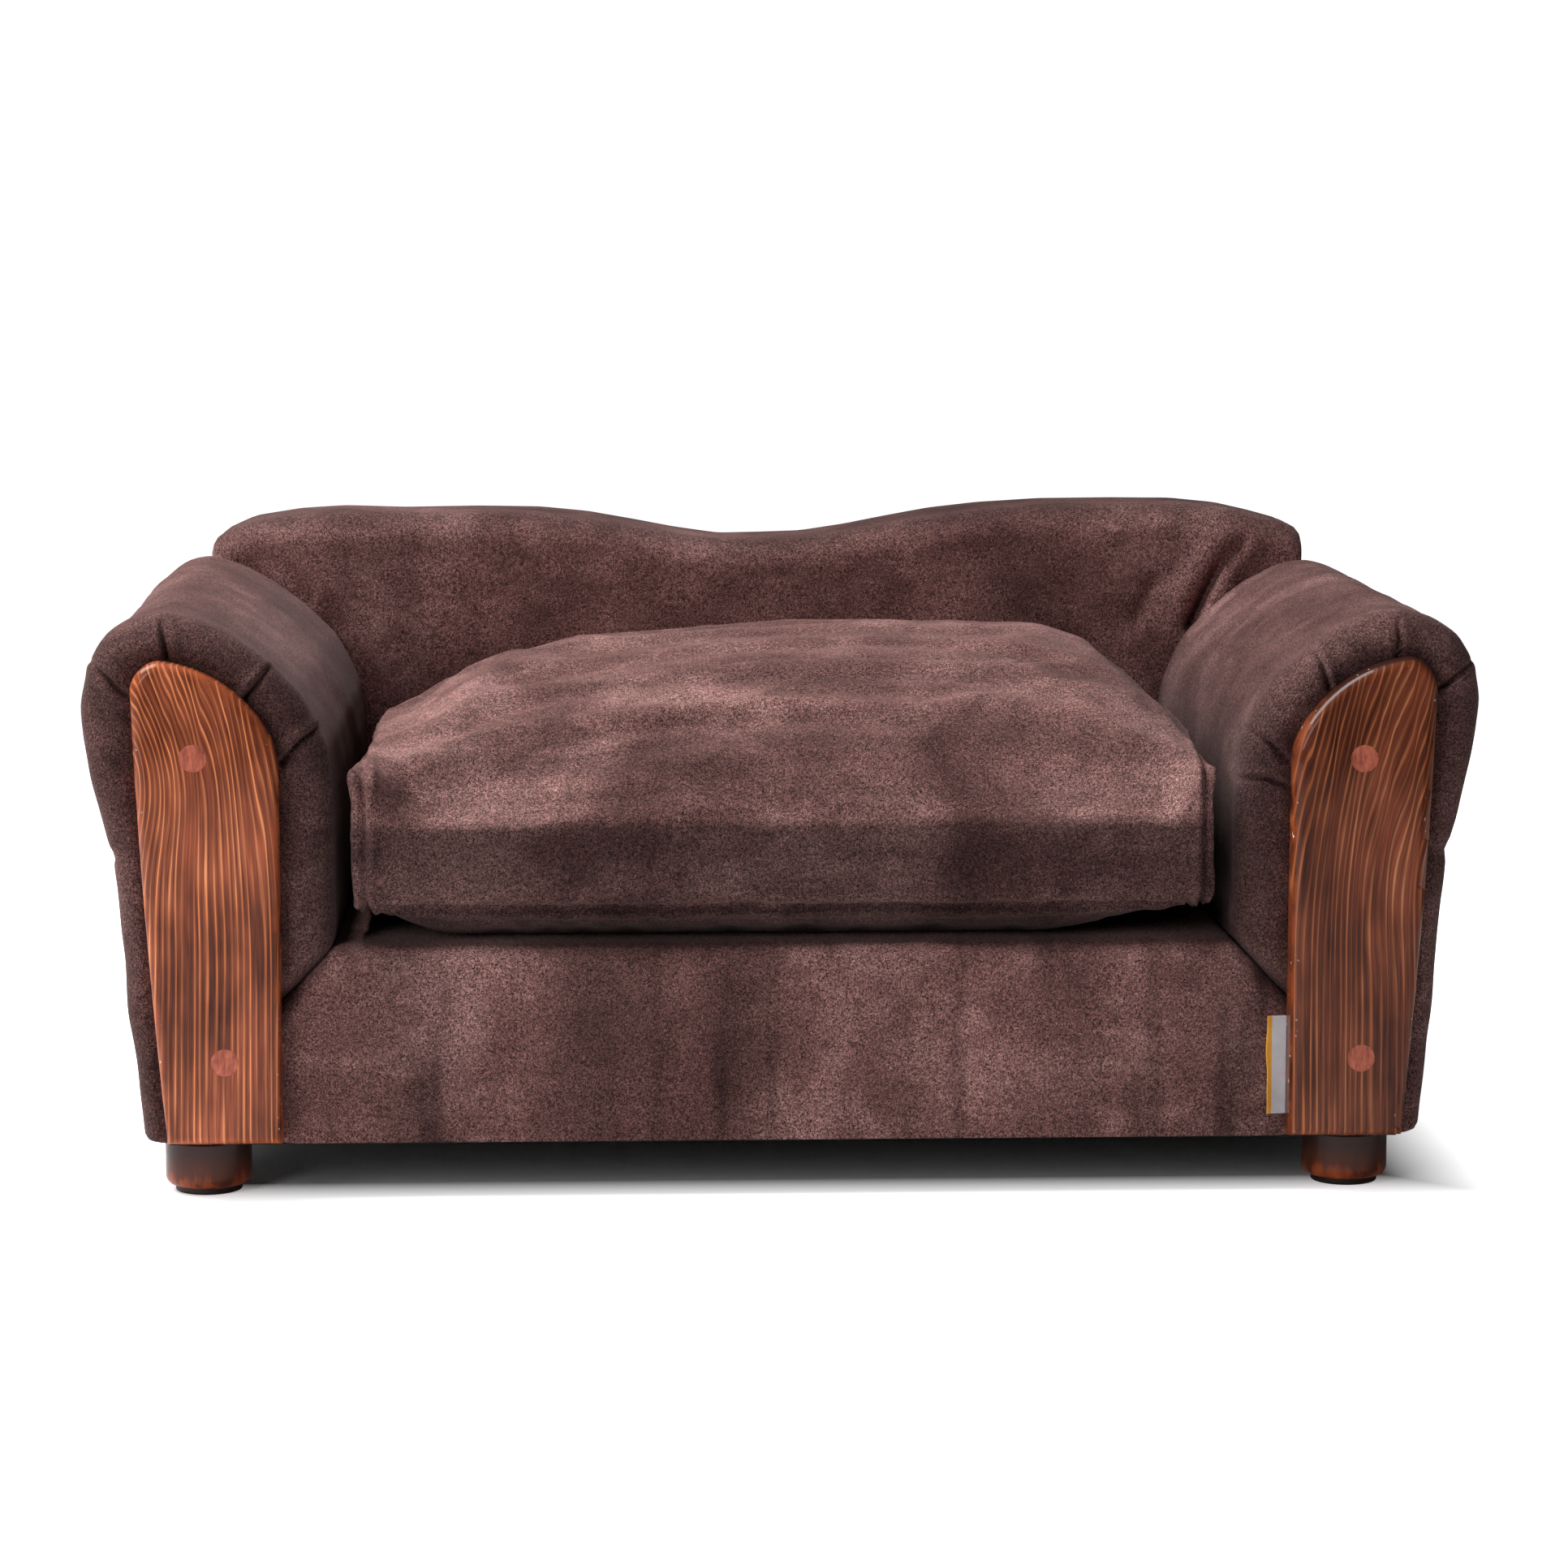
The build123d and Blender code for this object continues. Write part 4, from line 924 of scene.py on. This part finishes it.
def cushion_loop(x, inset, shrink):
    """One outline at X, drawn in by an inset and shrunk about its middle."""
    outline = cushion_profile(x)
    lengths = line_lengths(outline)
    line = along(outline, np.linspace(0, lengths[-1], CUSHION_POINTS + 1)[:-1])
    middle = (line.max(0) + line.min(0)) / 2
    away = line - middle
    distance = np.linalg.norm(away, axis=1, keepdims=True)
    line = middle + away * (1 - inset / distance) * (1 - shrink)
    return np.column_stack([np.full(CUSHION_POINTS, x), line])


def cushion_side(sign, half):
    """Outlines of one flat side, from its middle outwards, and round its edge."""
    loops = [
        cushion_loop(sign * half, CUSHION_ROUND, share)
        for share in np.linspace(0.97, 0.0, CAP_LOOPS)
    ]
    for angle in np.linspace(0, math.pi / 2, ROUND_LOOPS + 1)[1:]:
        x = half - CUSHION_ROUND * (1 - math.cos(angle))
        loops.append(cushion_loop(sign * x, CUSHION_ROUND * (1 - math.sin(angle)), 0))
    return loops


def cushion_grid():
    """Rows of closed outlines from the middle of one side, across, to the middle of the other."""
    half = cushion_high[0] - 0.5
    across = np.linspace(-half + CUSHION_ROUND, half - CUSHION_ROUND, CUSHION_LOOPS)[1:-1]
    middle = [cushion_loop(x, 0, 0) for x in across]
    return np.array(cushion_side(-1, half) + middle + cushion_side(1, half)[::-1])


def refined(grid, factor, closed):
    """Grid with more rows, on a smooth curve through the given ones."""
    rows = len(grid)
    count = rows * factor if closed else (rows - 1) * factor + 1
    places = np.arange(count) / factor
    whole = places.astype(int)
    part = (places - whole)[:, None, None]

    def row(shift):
        index = whole + shift
        return grid[index % rows] if closed else grid[np.clip(index, 0, rows - 1)]

    a, b, c, d = row(-1), row(0), row(1), row(2)
    linear, square, cube = c - a, 2 * a - 5 * b + 4 * c - d, 3 * b - a - 3 * c + d
    return b + 0.5 * (linear * part + square * part**2 + cube * part**3)


def swollen(grid, pinned, pressure, loose, cap):
    """Grid after a cloth simulation: panels swell between pinned seams, by the cap at most."""
    piece = loops_mesh("swelling", grid)
    group = piece.vertex_groups.new(name="seams")
    group.add(np.flatnonzero(pinned.reshape(-1)).tolist(), 1.0, "REPLACE")
    cloth = piece.modifiers.new("cloth", "CLOTH")
    settings = cloth.settings
    settings.quality = 6
    settings.use_pressure = True
    settings.uniform_pressure_force = pressure
    settings.vertex_group_mass = "seams"
    settings.shrink_min = -loose
    settings.bending_stiffness = 8
    settings.effector_weights.gravity = 0
    cloth.point_cache.frame_start = 1
    cloth.point_cache.frame_end = SWELL_FRAMES
    scene = bpy.context.scene
    for frame_number in range(1, SWELL_FRAMES + 1):
        scene.frame_set(frame_number)
    result = piece.evaluated_get(bpy.context.evaluated_depsgraph_get())
    flat = np.empty(len(result.data.vertices) * 3)
    result.data.vertices.foreach_get("co", flat)
    scene.frame_set(1)
    bpy.data.objects.remove(piece)
    move = flat.reshape(grid.shape) / MM - grid
    length = np.linalg.norm(move, axis=2, keepdims=True)
    return grid + move * np.minimum(1, cap / np.maximum(length, 1e-6))


def seam_columns(grid):
    """For each outline, the columns where the front and the rear lower seams run."""
    height = cushion_low[2] + SEAM_RISE
    distance = np.abs(grid[:, :, 2] - height)
    middle = (cushion_low[1] + cushion_high[1]) / 2
    front = np.where(grid[:, :, 1] < middle, distance, 1e9).argmin(1)
    rear = np.where(grid[:, :, 1] >= middle, distance, 1e9).argmin(1)
    return front, rear


def seam_shape(distance, along_seam, depth, pucker, seed):
    """Sewn seam: a narrow valley between two soft welts, with puckers running off it."""
    random = np.random.default_rng(seed)
    waves = np.zeros_like(along_seam)
    for _ in range(5):
        length = random.uniform(9, 26)
        waves += np.sin(along_seam * 2 * math.pi / length + random.uniform(0, 6.28)) / 5
    welt = 0.6 * depth * bell(np.abs(distance) - 4.0, 2.2)
    valley = -depth * bell(distance, 1.7)
    return valley + welt + pucker * waves * np.exp(-np.abs(distance) / 9)


def cushion_pinned(grid):
    """Points that the swelling leaves in place: the seams, the underside and the rear."""
    rows = np.arange(len(grid))
    pinned = np.zeros(grid.shape[:2], dtype=bool)
    for columns in seam_columns(grid):
        pinned[rows, columns] = True
    pinned[SIDE_SEAM] = pinned[-1 - SIDE_SEAM] = True
    pinned |= (grid[:, :, 2] < cushion_low[2] + 12) & (grid[:, :, 1] > cushion_low[1] + 30)
    return pinned | (grid[:, :, 1] > cushion_high[1] - 9)


def cushion_seams(grid):
    """How far the lower seams and the side panels' seams move each point outwards."""
    shape = grid.shape[:2]
    front, rear = seam_columns(grid)
    move = np.zeros(shape)
    for seam, depth, pucker, seed in ((front, 3.2, 1.0, 51), (rear, 1.2, 0.4, 52)):
        line = grid[np.arange(shape[0]), seam]
        distance = np.linalg.norm(grid - line[:, None, :], axis=2)
        places = np.broadcast_to(line[:, :1], shape)
        inner = (np.abs(line[:, 0]) < cushion_high[0] - 2)[:, None]
        move += inner * seam_shape(distance, places, depth, pucker, seed)
    above = smoothstep(4, 12, grid[:, :, 2] - cushion_low[2])
    at_front = 1 + 0.5 * (1 - smoothstep(8, 30, grid[:, :, 1] - cushion_low[1]))
    for row, seed in ((SIDE_SEAM * FINER, 53), (shape[0] - 1 - SIDE_SEAM * FINER, 54)):
        line = grid[row]
        distance = np.linalg.norm(grid - line[None], axis=2)
        places = np.broadcast_to(line_lengths(line)[None], shape)
        move += above * at_front * seam_shape(distance, places, 2.1, 0.5, seed)
    return move


def cushion_corners(grid):
    """How far the bump on each front corner, and the dent below it, move each point."""
    move = np.zeros(grid.shape[:2])
    for side in (-1, 1):
        spot = np.array([
            side * (cushion_high[0] - 4), cushion_low[1] + 3, cushion_low[2] + FRONT_FOLD + 22])
        move += EAR_RISE * bell(np.linalg.norm(grid - spot, axis=2), EAR_WIDTH)
        spot[2] -= TUCK_DROP
        reach = np.linalg.norm((grid - spot) * np.array([1.0, 1.0, 0.5]), axis=2)
        move -= TUCK_DEPTH * bell(reach, TUCK_WIDTH)
    return move


def make_cushion():
    """Loose boxed cushion: crowned top and front in one panel, with sewn side panels."""
    grid = cushion_grid()
    pinned = cushion_pinned(grid)
    grid = swollen(grid, pinned, CUSHION_PRESSURE, CUSHION_LOOSE, CUSHION_CAP)
    grid = refined(grid, FINER, False)
    grid = refined(grid.transpose(1, 0, 2), FINER, True).transpose(1, 0, 2)
    normals = outward(grid, (cushion_low + cushion_high) / 2, closed=True)
    move = cushion_seams(grid) + cushion_corners(grid)
    soft = 0.9 * value_noise(grid, 110, 41) + 0.45 * value_noise(grid, 38, 42)
    streaks = value_noise(grid * np.array([0.22, 1.0, 1.0]), 20, 43)
    free = smoothstep(6, 20, grid[:, :, 2] - cushion_low[2])
    free = free * smoothstep(2, 14, cushion_high[1] - grid[:, :, 1])
    move += free * (soft + 0.22 * streaks)
    grid = grid + normals * move[:, :, None]
    x, y, z = np.moveaxis(grid, 2, 0)
    lowest = 1 - smoothstep(0, 26, z - cushion_low[2])
    outermost = smoothstep(cushion_high[0] - 24, cushion_high[0], np.abs(x))
    x -= np.sign(x) * 6.0 * lowest * outermost
    x[:] = np.clip(x, -arm_low[0] + 0.8, arm_low[0] - 0.8)
    y[:] = np.minimum(y, cushion_high[1] - 0.2)
    z[:] = np.maximum(z, cushion_low[2])
    cushion = loops_mesh("cushion", grid)
    tidy_mesh(cushion, 0.02)
    finish_piece(cushion, "cushion", SUEDES["cushion"], ("cushion_cover", "cushion_core"))


# -------- tag
TAG_THICKNESS = 1.1         # of the folded ribbon
TAG_CURL = 1.9              # how far the free edge stands out
TAG_WEAVE = 0.6             # pitch of the ribbon's threads
TAG_HEM = 2.2               # width of the coloured fold along the tag's free edge


def make_tag():
    """Folded ribbon tag sewn in beside the right facing board, with its free edge curled."""
    tall = tag_high[2] - tag_low[2]
    across = np.linspace(0, 1, 13)
    rings = []
    for height in np.linspace(0, 1, 40):
        wave = 0.5 * math.sin(height * 7.0) + 0.3 * math.sin(height * 15.0 + 1)
        free = tag_low[0] + 0.5 * wave
        x = tag_high[0] - (tag_high[0] - free) * across
        lift = TAG_CURL * across**2 * (0.8 + 0.35 * math.sin(height * 5.2 + 0.6))
        z = tag_low[2] + tall * height - 0.9 * across * math.sin(height * math.pi)
        front = base_low[1] - 0.7 - TAG_THICKNESS - lift
        ring = np.stack([x, front, np.broadcast_to(z, x.shape)], 1)
        back = ring[::-1] + np.array([0, TAG_THICKNESS, 0])
        rings.append(np.concatenate([ring, back]))
    tag = loops_mesh("woven_tag", np.array(rings))
    tidy_mesh(tag, 0.01)
    bevel = tag.modifiers.new("rounded", "BEVEL")
    bevel.width = 0.3 * MM
    bevel.segments = 2
    finish_piece(tag, "sofa", tag_material(), ("side_tag",))


def tag_material():
    """Pale woven ribbon with an orange fold down its free edge."""
    n = Nodes("tag_ribbon")
    weave = n.weave(TAG_WEAVE)
    dust = n.noise(n.place, 120.0, 3.0)
    mixed = n.blend(weave, dust, 0.5)
    pale = n.ramp(mixed, [(0.2, (0.42, 0.40, 0.43)), (0.8, (0.80, 0.78, 0.82))])
    orange = n.ramp(mixed, [(0.2, (0.62, 0.22, 0.02)), (0.8, (0.95, 0.48, 0.06))])
    edge = tag_low[0] + TAG_HEM
    hem = n.grey(n.x, edge * MM, (edge + 0.3) * MM, 1, 0)
    n.set(Sheen_Weight=0.2, Specular_IOR_Level=0.25)
    rough = n.grey(dust, 0.3, 0.7, 0.7, 0.9)
    return n.finish(n.mix(hem, pale, orange), rough, n.bump(weave, 0.5, 0.0003))


for arm_name, arm_sign in (("left", -1), ("right", 1)):
    make_arm(arm_name, arm_sign)
make_base()
make_back()
make_cushion()
make_tag()


# -------- materials of the CAD nodes
def dress_nodes():
    """Gives every CAD node that still shows its material."""
    boards = {
        # the tone (last but one) gives the right board a darker copy of the stain as painted
        # shade; the last number lessens the painted shade on the left board's upper edges
        "facing_board_left": stained_pine_material(
            "stained_pine_left", 0.31, 0.200, -0.015, -0.9, 1.0, 0.6),
        "facing_board_right": stained_pine_material(
            "stained_pine_right", 0.87, 0.150, 0.004, 1.1, 0.56, 0.0),
    }
    by_slot = {
        "plug_wood": plug_material(),
        "foot_wood": foot_material(),
        "frame_wood": plain_wood_material("frame_wood", (0.66, 0.46, 0.27), (0.45, 0.27, 0.13)),
        "hardboard": plain_wood_material("hardboard", (0.25, 0.14, 0.07), (0.16, 0.085, 0.04)),
        "foam": foam_material(),
        "steel": metal_material("steel", (0.6, 0.6, 0.62), 0.3),
        "zip_metal": metal_material("zip_metal", (0.34, 0.27, 0.16), 0.35),
        "glide_plastic": glide_material(),
        "dust_cloth": woven_material(
            "dust_cloth", (0.004, 0.004, 0.005), (0.02, 0.02, 0.022), 0.9),
        "zip_cloth": woven_material(
            "zip_cloth", (0.018, 0.009, 0.008), (0.05, 0.028, 0.025), 0.7),
        "suede": SUEDES["arm"],
    }
    for row in frame["record"]["subparts"]:
        node = frame["nodes"].get(row["node"])
        material = boards.get(row["node"], by_slot.get(row["material_slot"]))
        if node and material:
            node.data.materials.clear()
            node.data.materials.append(material)


dress_nodes()


# -------- floor, light and camera
CAMERA_PLACE = (-82.6, -2183.4, 444.5)  # in mm
CAMERA_YAW = 2.33           # degrees to the right of straight ahead
CAMERA_PITCH = 7.19         # degrees downwards
CAMERA_LENS = 100.9         # focal length in mm, on a sensor 36 mm wide
AMBIENT = 0.06              # light from the white surround
FLOOR_GLOW = (-0.035, 0.01) # metres from the sofa's box over which the floor's painted glow, seen by the camera alone, turns it plain white and hides the sofa's shadow beside it
LIGHTS = (
    # name, place, aim, width and height in metres, and power in watts
    ("top_box", (-1.0, 0.0, 1.8), (0, 0, 0.1), 1.3, 1.6, 76),
    ("key_box", (-1.3, -2.0, 0.9), (0, -0.1, 0.15), 0.7, 0.9, 13),
)


def make_stage():
    """White floor that runs into a white surround, with soft light from above and the left; beyond
    the sofa's box it glows for the camera alone, painted light that hides the sofa's shadow there.
    """
    bpy.ops.mesh.primitive_plane_add(size=3.6, location=(0, 0, -0.0002))
    floor = bpy.context.object
    floor.name = "floor"
    n = Nodes("floor_paper")
    mottle = n.noise(n.place, 3.0, 2.0)
    colour = n.ramp(mottle, [(0.3, (0.90, 0.90, 0.90)), (0.7, (0.92, 0.92, 0.92))])
    beside = n.math("SUBTRACT", n.math("ABSOLUTE", n.x), arm_high[0] * MM)
    before = n.math("SUBTRACT", n.math("ABSOLUTE", n.y), -base_low[1] * MM)
    distance = n.math("MAXIMUM", beside, before)
    # painted light: the floor glows for the camera beyond the sofa's box, where the sofa's shadow
    # would fall
    painted_floor_glow = n.grey(distance, FLOOR_GLOW[0], FLOOR_GLOW[1], 0.0, 1.0)
    seen = n.node("ShaderNodeLightPath").outputs["Is Camera Ray"]
    n.link(n.times(painted_floor_glow, seen), n.shader.inputs["Emission Strength"])
    n.set(Emission_Color=(1, 1, 1, 1))
    floor.data.materials.append(n.finish(colour, n.grey(mottle, 0, 1, 0.7, 0.8)))
    scene = bpy.context.scene
    scene.view_settings.view_transform = "Standard"
    world = bpy.data.worlds.new("studio")
    scene.world = world
    world.use_nodes = True
    tree = world.node_tree
    white = tree.nodes["Background"]
    white.inputs["Color"].default_value = (1, 1, 1, 1)
    path = tree.nodes.new("ShaderNodeLightPath")
    level = tree.nodes.new("ShaderNodeMapRange")
    level.inputs["To Min"].default_value = AMBIENT
    level.inputs["To Max"].default_value = 1.05
    tree.links.new(path.outputs["Is Camera Ray"], level.inputs["Value"])
    tree.links.new(level.outputs["Result"], white.inputs["Strength"])
    for name, place, aim, width, height, power in LIGHTS:
        data = bpy.data.lights.new(name, "AREA")
        data.shape = "RECTANGLE"
        data.size, data.size_y, data.energy = width, height, power
        light = bpy.data.objects.new(name, data)
        light.location = place
        light.rotation_euler = (Vector(aim) - Vector(place)).to_track_quat("-Z", "Y").to_euler()
        scene.collection.objects.link(light)


def make_camera():
    """Camera at the front, a little left of the middle and slightly above the sofa."""
    data = bpy.data.cameras.new("camera")
    data.lens = CAMERA_LENS
    data.sensor_width = 36
    camera = bpy.data.objects.new("camera", data)
    camera.location = [value * MM for value in CAMERA_PLACE]
    pitch, yaw = math.radians(90 - CAMERA_PITCH), math.radians(-CAMERA_YAW)
    camera.rotation_euler = (pitch, 0, yaw)
    bpy.context.scene.collection.objects.link(camera)
    bpy.context.scene.camera = camera


make_stage()
make_camera()
